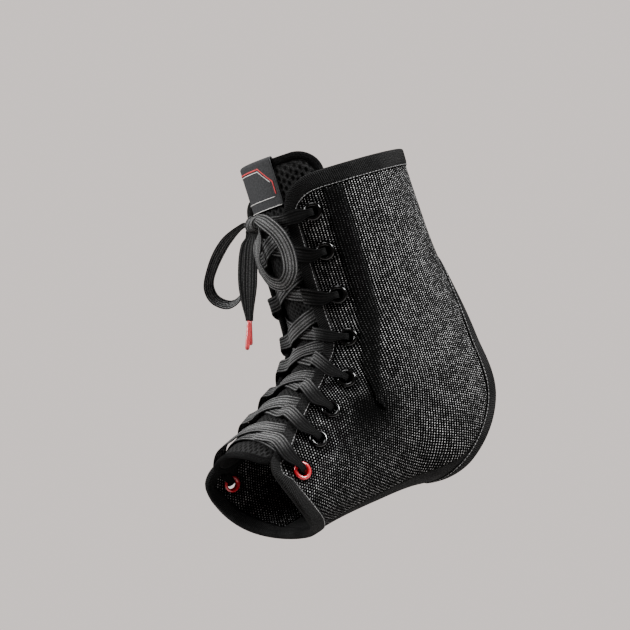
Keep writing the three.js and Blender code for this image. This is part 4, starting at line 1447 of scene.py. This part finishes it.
@dataclass
class Label:
    """A woven label folded over the tongue's top edge, plain but for its piping lines."""

    columns: int = 60
    rows: int = 56
    across_mm: float = 37.0
    along_mm: float = 45.0
    line_lift: float = 0.14
    line_height: float = 0.16

    def place_at(self, down: Points, angle: Points, lift: float) -> Points:
        """Points on the label's outer face.

        Args:
            down: Millimetres down the front, negative over the edge and down the back.
            angle: Degrees from the middle line.
            lift: Height above the face.

        Returns:
            The points.
        """
        grow = LAYER_GAP + LABEL_THICKNESS + lift
        middle = TONGUE_THICKNESS / 2
        radius = middle + grow
        length = np.linalg.norm(FORM.tangents(np.float64(TONGUE_TOP), np.float64(0))[0])
        arc = np.pi * radius
        turn = np.clip(-down / arc, 0, 1) * np.pi
        front, back = np.maximum(down, 0), np.maximum(-down - arc, 0)
        section = TONGUE_TOP + (front + back - radius * np.sin(turn) * 0.8) / length
        height = middle + radius * np.cos(turn)
        return FORM.point(section, angle, height)

    def place(self, across: Points, along: Points) -> Points:
        """Points of the label's outer face."""
        arc = np.pi * (TONGUE_THICKNESS / 2 + LAYER_GAP + LABEL_THICKNESS)
        down = LABEL_LENGTH - (LABEL_LENGTH + arc + LABEL_TURN_DOWN) * along
        return self.place_at(down, LABEL_ANGLE * (2 * across - 1), 0.0)

    def flat(self, across: Points, along: Points) -> Points:
        """Lengths across and along the tape, in metres."""
        return np.stack([across * self.across_mm, along * self.along_mm], axis=-1) * MM

    def line(self, bm: bmesh.types.BMesh, route: Sequence[tuple[float, float]], width: float) -> None:
        """Add one piping line.

        Args:
            bm: The mesh that takes it.
            route: Its corners, as (millimetres down, degrees).
            width: Its width.
        """
        corners = np.array(route, float)
        steps = np.linspace(0, len(corners) - 1, 24 * (len(corners) - 1) + 1)
        down = np.interp(steps, np.arange(len(corners)), corners[:, 0])
        angle = np.interp(steps, np.arange(len(corners)), corners[:, 1])
        middle = self.place_at(down, angle, self.line_lift)
        normal = FORM.normal(TONGUE_TOP + down / 24, angle)
        along = unit(np.gradient(middle, axis=0))
        side = unit(np.cross(normal, along))

        def place(across: Points, share: Points) -> Points:
            i = np.round(share * (len(steps) - 1)).astype(int)
            turn = 2 * np.pi * across[:, None]
            wide = side[i] * np.cos(turn) * width / 2
            return middle[i] + wide + normal[i] * np.sin(turn) * self.line_height

        tube = grid(8, len(steps) - 1, place)
        close_round(tube)
        merge(bm, tube)

    def build(self, finishes: Finishes) -> None:
        """Build the label and its piping lines."""
        bm = grid(self.columns, self.rows, self.place, self.flat)
        face_along(bm, (0, -1, 0))
        piece = finished("label_tape", bm, finishes.label, ["label"])
        thicken(piece, LABEL_THICKNESS)
        red, white = bmesh.new(), bmesh.new()
        self.line(red, ((3.2, -27), (3.2, 15), (12, 25.5), (19.5, 25.5)), 0.75)
        self.line(white, ((4.5, -27), (4.5, 14), (12, 23.4)), 0.5)
        self.line(white, ((21, -27), (21, 24)), 0.4)
        self.line(white, ((26.6, -28), (26.6, 28)), 0.4)
        lines = [
            finished("label_line_red", red, finishes.red_thread),
            finished("label_line_white", white, finishes.white_thread),
        ]


@dataclass
class Eyelet:
    """A rolled ring through the cloth, spun round the form's normal."""

    index: int
    side: Side
    steps: int = 48
    washer: float = 0.9

    def outline(self) -> list[tuple[float, float]]:
        """The ring's section, as radius and height above the skin."""
        seat = PANEL_OUTSIDE + 0.1
        low = BINDING_INSIDE + LAYER_GAP / 4
        barrel = EYELET_BORE_RADIUS + EYELET_WALL
        outer = barrel + EYELET_FLANGE
        middle = (EYELET_BORE_RADIUS + outer) / 2
        half = (outer - EYELET_BORE_RADIUS) / 2
        lip = [
            (middle - half * math.cos(t), seat + (EYELET_RIM_HEIGHT + LAYER_GAP) * math.sin(t) ** 0.8)
            for t in np.linspace(0.05, math.pi - 0.05, 11)
        ]
        under = [(barrel, seat), (barrel, low + EYELET_INNER_HEIGHT)]
        washer = barrel + self.washer
        foot = [(washer, low + 0.35), (washer, low), (EYELET_BORE_RADIUS + 0.1, low)]
        return lip + under + foot

    def build(self, finishes: Finishes) -> None:
        """Build the eyelet."""
        section, angle = EYELETS[self.index]
        turn = float(self.side.angle(angle))
        bm = spun(self.outline(), self.steps, closed=True)
        bmesh.ops.recalc_face_normals(bm, faces=bm.faces)
        normal = Vector(FORM.normal(np.float64(section), np.float64(turn)))
        place = Matrix.Translation(Vector(FORM.skin(section, turn) * MM))
        lean = Vector((0, 0, 1)).rotation_difference(normal).to_matrix().to_4x4()
        bmesh.ops.transform(bm, matrix=place @ lean, verts=bm.verts)
        lowest = self.index == len(EYELETS) - 1
        name = f"{self.side.label}_{self.index + 1}"
        finished(f"ring_{name}", bm, finishes.red_eyelet if lowest else finishes.black_eyelet,
                 [f"eyelet_{name}"])


@dataclass(frozen=True)
class Ribbon:
    """A flat ribbed lace along rings of a middle and a half width."""

    ribs: int = 5
    sides: int = 44
    rib_height: float = 0.16

    def section(self) -> Points:
        """The lace's section: shares across, half thickness, and how bright its yarns show there, as a
        painted highlight on the tops of its ribs.
        """
        turn = 2 * np.pi * np.arange(self.sides) / self.sides
        across = np.cos(turn)
        across = np.sign(across) * np.abs(across) ** 0.72
        wave = 0.5 + 0.5 * np.cos(2 * np.pi * self.ribs * (across + 1) / 2 + np.pi)
        body = (LACE_THICKNESS / 2 - self.rib_height) * np.abs(np.sin(turn)) ** 0.35
        height = np.sign(np.sin(turn)) * (body + self.rib_height * wave * np.abs(np.sin(turn)) ** 0.35)
        # the third column is a painted highlight on the rib tops
        return np.stack([across, height, 0.08 + 1.3 * wave**2.5], axis=1)

    def build(self, name: str, middles: Points, widths: Points, finishes: Finishes,
              replaces: Sequence[str], light: Points | None = None) -> bpy.types.Object:
        """Build the lace.

        Args:
            name: The piece's name.
            middles: Its centreline, in millimetres.
            widths: Half its width at each place, as vectors.
            finishes: The materials.
            replaces: The CAD nodes that it stands for.
            light: How bright its yarns show at each place along it, 1 where it isn't given; on the lacing
                strands it is painted shade near the eyelets.

        Returns:
            The piece.
        """
        count = len(middles)
        light = np.ones(count) if light is None else light
        travel = unit(np.gradient(middles, axis=0))
        thick = unit(np.cross(widths, travel))
        total = running_length(middles)
        shape = self.section()

        def at(across: Points, along: Points) -> tuple[Points, Points]:
            return (np.round(across * self.sides).astype(int) % self.sides,
                    np.round(along * (count - 1)).astype(int))

        def place(across: Points, along: Points) -> Points:
            k, i = at(across, along)
            return middles[i] + widths[i] * shape[k, :1] + thick[i] * shape[k, 1:2]

        def flat(across: Points, along: Points) -> Points:
            k, i = at(across, along)
            return np.stack([shape[k, 0] * LACE_WIDTH / 2, total[i]], axis=-1) * MM

        # painted highlight of the rib tops, times the brightness given along the lace
        def shade(across: Points, along: Points) -> Points:
            k, i = at(across, along)
            return shape[k, 2] * light[i]

        bm = grid(self.sides, count - 1, place, flat, shade)
        close_round(bm)
        return finished(name, bm, finishes.lace, replaces)


@dataclass
class Lacing:
    """The lace through every eyelet: one half, the bar between the lowest eyelets, and the other half."""

    spacing: float = 0.95
    # reach of the painted shade on the strands near the eyelets, and where it has faded
    painted_shadow_reach: float = 12.0
    painted_shadow_fade: float = 30.0

    def through(self, index: int, side: float) -> list[tuple[float, float, float, float]]:
        """Places of the lace as it rises through an eyelet and turns out over the cloth.

        Args:
            index: The eyelet's number.
            side: 1 or -1.

        Returns:
            Rows of section, angle, height and width.
        """
        section, angle = EYELETS[index]
        bend, reach = LACE_BEND_HEIGHT, LACE_BEND_REACH
        narrow = LACE_WIDTH_IN_BORE
        stops = (
            (LACE_TURN_REACH, LACE_UNDER, (LACE_WIDTH + narrow) * 0.54),
            (reach, LACE_UNDER, narrow),
            (reach / 4, LACE_UNDER + bend / 4, narrow),
            (0.0, LACE_UNDER + bend, narrow),
            (0.0, LACE_OVER - bend, narrow),
            (reach / 4, LACE_OVER - bend / 4, narrow),
            (reach, LACE_OVER, narrow),
            (LACE_TURN_REACH, LACE_OVER, LACE_WIDTH),
        )
        return [
            (section, side * (angle - float(FORM.degrees_for(length, section, angle))), height, width)
            for length, height, width in stops
        ]

    def crossing(self, first: int, last: int, side: float) -> list[tuple[float, float, float, float]]:
        """Places of one strand, from over one lacing edge to under the other.

        Args:
            first: The eyelet that it leaves.
            last: The eyelet that it goes to.
            side: 1 or -1, the side that it leaves.

        Returns:
            Rows of section, angle, height and width.
        """
        (s0, a0), (s1, a1) = EYELETS[first], EYELETS[last]
        height = LACE_UNDER if side > 0 else LACE_CROSSING
        clear = BINDING_GAP + BINDING_THICKNESS + LACE_EDGE_CLEARANCE
        start = float(lacing_edge(s0) - FORM.degrees_for(clear, s0, a0))
        end = float(lacing_edge(s1) - FORM.degrees_for(clear, s1, a1))
        middle = (s0 + s1) / 2
        flat = float(FORM.degrees_for(CROSSING_REACH, middle, 0.0))
        slope = float(distance(FORM.skin(s0, 0.0), FORM.skin(s1, 0.0)))
        span = (a0 + a1) / float(FORM.degrees_for(1.0, middle, 30.0))
        width = LACE_WIDTH * math.hypot(1, slope / span)
        half_way = start - (start - flat) * 0.5
        stops = (
            (start, LACE_OVER), (half_way, LACE_OVER + (height - LACE_OVER) * 0.6), (flat, height),
            (flat * 0.5, height), (0.0, height), (-flat * 0.5, height), (-flat, height), (-end, LACE_UNDER),
        )
        return [
            (s0 + (s1 - s0) * (a0 - angle) / (a0 + a1), side * angle, level, width)
            for angle, level in stops
        ]

    def half(self, side: float) -> list[tuple[float, float, float, float]]:
        """Places up one half of the lacing, from a lowest eyelet to the knot."""
        places = []
        at = side
        last = len(EYELETS) - 1
        for index in range(last, -1, -1):
            places += self.through(index, at)
            if index:
                places += self.crossing(index, index - 1, at)
                at = -at
        section = EYELETS[0][0]
        edge = float(lacing_edge(section))
        end = float(FORM.degrees_for(KNOT_LENGTH * 0.465, KNOT_SECTION, 0.0))
        low = KNOT_HEIGHT - KNOT_RADIUS * 0.63
        for angle, height in ((edge * 0.91, LACE_OVER), (edge * 0.62, low + 1), (end, low)):
            share = 0.8 * (edge - angle) / (edge - end)
            places.append((section + (KNOT_SECTION - section) * share, at * angle, height, LACE_WIDTH * 0.8))
        return places

    def rings(self) -> tuple[Points, Points]:
        """The whole lace's middles and half widths, close together on a smooth curve."""
        section, angle = EYELETS[-1]
        shares = [*BAR_SHARES, 0.0, *(-s for s in reversed(BAR_SHARES))]
        bar = [(section - BAR_BOW * (1 - s**2), angle * s, LACE_UNDER, LACE_WIDTH) for s in shares]
        places = np.array(self.half(1.0)[::-1] + bar + self.half(-1.0))
        at, turn, height, width = places.T
        step = width / 2 / np.linalg.norm(FORM.tangents(at, turn)[0], axis=-1)
        low, high = FORM.point(at + step, turn, height), FORM.point(at - step, turn, height)
        rows = np.hstack([(low + high) / 2, (high - low) / 2])
        middles = spline(rows[:, :3], 24 * (len(rows) - 1) + 1)
        along = running_length(rows[:, :3])
        total = length_of(middles)
        count = int(total / self.spacing)
        middles = evenly(middles, count)
        fine = np.linspace(0, along[-1], count)
        widths = np.stack([np.interp(fine, along, rows[:, 3 + k]) for k in range(3)], axis=1)
        return middles, widths

    def build(self, finishes: Finishes) -> None:
        """Build the lace."""
        middles, widths = self.rings()
        travel = unit(np.gradient(middles, axis=0))
        sizes = np.linalg.norm(widths, axis=1, keepdims=True)
        square = widths - travel * (widths * travel).sum(1, keepdims=True)
        near = np.min([
            distance(middles, FORM.point(section, side * angle, LACE_OVER))
            for section, angle in EYELETS for side in (1.0, -1.0)
        ], axis=0)
        # painted shade on the strands near the eyelets
        light = 0.05 + 0.95 * smoothstep(self.painted_shadow_reach, self.painted_shadow_fade, near)
        Ribbon().build("lace_strands", middles, unit(square) * sizes, finishes, ["lace"], light)
        LOG.info("the lace through the eyelets is %.3f m long", length_of(middles) * MM)


@dataclass
class Bow:
    """The knot, its two loops and the two ends with their aglets."""

    right_lean: float = 55.0
    left_lean: float = 32.0
    loop_gather: float = 0.15
    end_gather: float = 0.45
    gathered_width: float = 0.5
    end_length: float = 0.054
    end_light: float = 0.3

    def __post_init__(self) -> None:
        """Place the knot on the middle line of the form."""
        self.knot = FORM.point(KNOT_SECTION, 0.0, KNOT_HEIGHT)

    def points(self, offsets: Sequence[Sequence[float]]) -> Points:
        """Points in the row frame from offsets across, forward and up from the knot."""
        rows = np.array(offsets, float)
        return self.knot + np.stack([rows[:, 0], -rows[:, 1], rows[:, 2]], axis=1)

    def half_widths(self, line: Points, lean: Points, gather: float) -> Points:
        """Half widths square to the line, gathered by the knot and by the far end."""
        travel = unit(np.gradient(line, axis=0))
        square = unit(lean - travel * (lean * travel).sum(1, keepdims=True))
        share = np.linspace(0, 1, len(line))
        full = smoothstep(0, 1, np.minimum(share / self.loop_gather, (1 - share) / gather))
        spread = self.gathered_width + (1 - self.gathered_width) * full
        return square * (LACE_WIDTH / 2 * spread)[:, None]

    def loop(self, name: str, node: str, offsets: Sequence[Sequence[float]], lean: float, length: float,
             finishes: Finishes) -> None:
        """Build one loop: its band leans outwards like the wall of a cone.

        Args:
            name: The piece's name.
            node: The CAD node that it stands for.
            offsets: Its points from the knot.
            lean: How far its band leans, in degrees.
            length: Metres of lace in the loop; not used.
            finishes: The materials.
        """
        points = self.points(offsets)
        centre = points.mean(0)
        axis = unit(np.cross(points[3] - centre, points[7] - centre))
        line = spline(points, 150)
        leaning = axis * math.cos(math.radians(lean)) + unit(line - centre) * math.sin(math.radians(lean))
        widths = self.half_widths(line, leaning, self.loop_gather)
        piece = Ribbon().build(name, line, widths, finishes, [node])
        LOG.info("%s: %.4f m of lace", name, length_of(line) * MM)

    def end(self, name: str, node: str, offsets: Sequence[Sequence[float]], aglet: bpy.types.Object,
            finishes: Finishes) -> None:
        """Build one hanging end.

        Args:
            name: The piece's name.
            node: The CAD node that it stands for.
            offsets: Its points from the knot.
            aglet: The aglet on it; not used.
            finishes: The materials.
        """
        line = spline(self.points(offsets), 80)
        leaning = np.broadcast_to(np.array([0.6, 0.8, 0.0]), line.shape)
        widths = self.half_widths(line, leaning, self.end_gather)
        piece = Ribbon().build(name, line, widths, finishes, [node], np.full(len(line), self.end_light))
        LOG.info("%s: %.4f m of lace", name, length_of(line) * MM)

    def aglet(self, name: str, node: str, offsets: Sequence[Sequence[float]], tip: Sequence[float],
              finishes: Finishes) -> bpy.types.Object:
        """Build one aglet: a crimped tube with a rounded tip.

        Args:
            name: The piece's name.
            node: The CAD node that it stands for.
            offsets: The lace end's points from the knot.
            tip: The aglet's tip from the knot.
            finishes: The materials.

        Returns:
            The aglet.
        """
        start, end = self.points([offsets[-1], tip])
        length, radius = float(distance(start, end)), AGLET_DIAMETER / 2
        outline = [
            (0.55, 0.0), (0.92, 0.02), (1.0, 0.06), (0.98, 0.2), (0.93, 0.23), (0.98, 0.26), (0.97, 0.6),
            (0.95, 0.86), (0.9, 0.93), (0.72, 0.975), (0.4, 0.995), (0.0, 1.0),
        ]
        bm = spun([(r * radius, h * length) for r, h in outline], 28, closed=False)
        close_round(bm)
        direction = Vector(end - start).normalized()
        turn = Vector((0, 0, 1)).rotation_difference(direction).to_matrix().to_4x4()
        bmesh.ops.transform(bm, matrix=Matrix.Translation(Vector(start * MM)) @ turn, verts=bm.verts)
        return finished(name, bm, finishes.aglet, [node])

    def build_knot(self, finishes: Finishes) -> None:
        """Build the knot: a gathered turn of the ribbed lace, with a second turn laid across it."""
        sides, stations = 48, 60

        def turned(middle: Points, tilt: float, half: float, radius: float, ribs: int) -> bmesh.types.BMesh:
            def place(across: Points, along: Points) -> Points:
                x = 2 * across - 1
                turn = 2 * np.pi * along
                waist = 1 - 0.1 * np.cos(np.pi * x) ** 2
                crown = np.sqrt(np.maximum(0, 1 - np.abs(x) ** 5))
                rib = 0.2 * np.cos(2 * np.pi * ribs * x / 2)
                around = (radius * waist + rib) * (0.35 + 0.65 * crown)
                y, z = around * np.cos(turn), around * np.sin(turn)
                side = x * half + 0.35 * np.sin(turn + 1.0)
                lean = math.radians(tilt)
                return middle + np.stack([
                    side * math.cos(lean) - z * math.sin(lean), y,
                    side * math.sin(lean) + z * math.cos(lean)], axis=-1)

            def flat(across: Points, along: Points) -> Points:
                return np.stack([across * 2 * half, along * 2 * np.pi * radius], axis=-1) * MM

            # painted highlight on the tops of the knot's ribs
            def shade(across: Points, along: Points) -> Points:
                return 0.3 + 0.9 * np.cos(np.pi * ribs * (2 * across - 1)) ** 2

            return grid(sides, stations, place, flat, shade)

        bm = turned(self.knot, 0.0, KNOT_LENGTH / 2, KNOT_RADIUS - 0.1, 5)
        close_round(bm)
        band = turned(self.knot + np.array([0, 0, 0.2]), -24.0, KNOT_LENGTH * 0.3, KNOT_RADIUS + 0.25, 4)
        close_round(band)
        merge(bm, band)
        finished("lace_bow_knot", bm, finishes.lace, ["lace_knot"])

    def build(self, finishes: Finishes) -> None:
        """Build the bow."""
        self.loop("loop_right", "bow_loop_right", BOW_LOOP_RIGHT, self.right_lean, 0.104, finishes)
        self.loop("loop_left", "bow_loop_left", BOW_LOOP_LEFT, self.left_lean, 0.114, finishes)
        ends = (("right", LACE_END_RIGHT, AGLET_RIGHT_TIP), ("left", LACE_END_LEFT, AGLET_LEFT_TIP))
        for word, offsets, tip in ends:
            aglet = self.aglet(f"tip_{word}", f"aglet_{word}", offsets, tip, finishes)
            self.end(f"end_{word}", f"lace_end_{word}", offsets, aglet, finishes)
        self.build_knot(finishes)


@dataclass(frozen=True)
class Lamp:
    """A soft area light that looks at the brace: degrees as the camera's, metres and watts."""

    name: str
    azimuth: float
    elevation: float
    far: float
    size: float
    watts: float

    def build(self) -> None:
        """Place the light."""
        turn, rise = math.radians(self.azimuth), math.radians(self.elevation)
        away = Vector((math.sin(turn) * math.cos(rise), -math.cos(turn) * math.cos(rise), math.sin(rise)))
        data = bpy.data.lights.new(self.name, "AREA")
        data.shape = "DISK"
        data.size = self.size
        data.energy = self.watts
        lamp = linked(self.name, data)
        lamp.matrix_world = Matrix.LocRotScale(away * self.far, away.to_track_quat("Z", "Y"), None)


LAMPS = (
    Lamp("key", azimuth=138, elevation=30, far=1.3, size=0.5, watts=44),
    Lamp("front", azimuth=-20, elevation=38, far=1.4, size=0.6, watts=30),
    Lamp("top", azimuth=80, elevation=78, far=1.2, size=0.6, watts=10),
)


@dataclass
class Studio:
    """The camera of the photograph, plain soft lights and a pale floor."""

    azimuth: float = 62.0
    roll: float = 17.5
    range_m: float = 1.3
    lens: float = 126.286
    sensor: float = 36.0
    sideways: float = -31.0
    height: float = 33.0
    backdrop: tuple[float, float, float, float] = (0.975, 0.885, 0.845, 1.0)
    ambient: float = 0.09
    floor_level: float = -0.40
    floor_radius: float = 0.8

    def camera(self) -> None:
        """Place the camera at the photograph's viewing angle."""
        turn, roll = math.radians(self.azimuth), math.radians(self.roll)
        right = Vector((math.cos(turn), math.sin(turn), 0))
        back = Vector((math.sin(turn), -math.cos(turn), 0))
        target = Vector((self.sideways * math.cos(turn), self.sideways * math.sin(turn), self.height)) * MM
        up = Vector((0, 0, 1)) * math.cos(roll) + right * math.sin(roll)
        across = up.cross(back)
        data = bpy.data.cameras.new("camera")
        data.lens = self.lens
        data.sensor_width = self.sensor
        camera = linked("camera", data)
        camera.matrix_world = Matrix.LocRotScale(
            target + back * self.range_m, Matrix((across, up, back)).transposed(), None)
        bpy.context.scene.camera = camera

    def floor(self) -> None:
        """Lay the plain pale floor well below the brace."""
        bm = bmesh.new()
        bmesh.ops.create_circle(bm, cap_ends=True, segments=96, radius=self.floor_radius)
        bmesh.ops.translate(bm, vec=(0, 0, self.floor_level), verts=bm.verts)
        floor = meshed("floor", bm, StudioFinish().material())

    def build(self) -> None:
        """Build the studio."""
        self.camera()
        world = bpy.data.worlds.new("studio")
        world.use_nodes = True
        ground = next(n for n in world.node_tree.nodes if n.type == "BACKGROUND")
        ground.inputs[0].default_value = self.backdrop
        seen = world.node_tree.nodes.new("ShaderNodeLightPath")
        strength = world.node_tree.nodes.new("ShaderNodeMapRange")
        strength.inputs[3].default_value = self.ambient
        world.node_tree.links.new(seen.outputs["Is Camera Ray"], strength.inputs[0])
        world.node_tree.links.new(strength.outputs[0], ground.inputs[1])
        bpy.context.scene.world = world
        for lamp in LAMPS:
            lamp.build()
        self.floor()


def main() -> None:
    """Build the brace, the camera and the cords first."""
    logging.basicConfig(level=logging.INFO, format="%(message)s")
    Studio().build()
    finishes = Finishes()
    Bow().build(finishes)
    Lacing().build(finishes)
    Shell().build(finishes)
    Tongue().build(finishes)
    for side in Side:
        for index in range(len(EYELETS)):
            Eyelet(index, side).build(finishes)


if __name__ == "__main__":
    main()
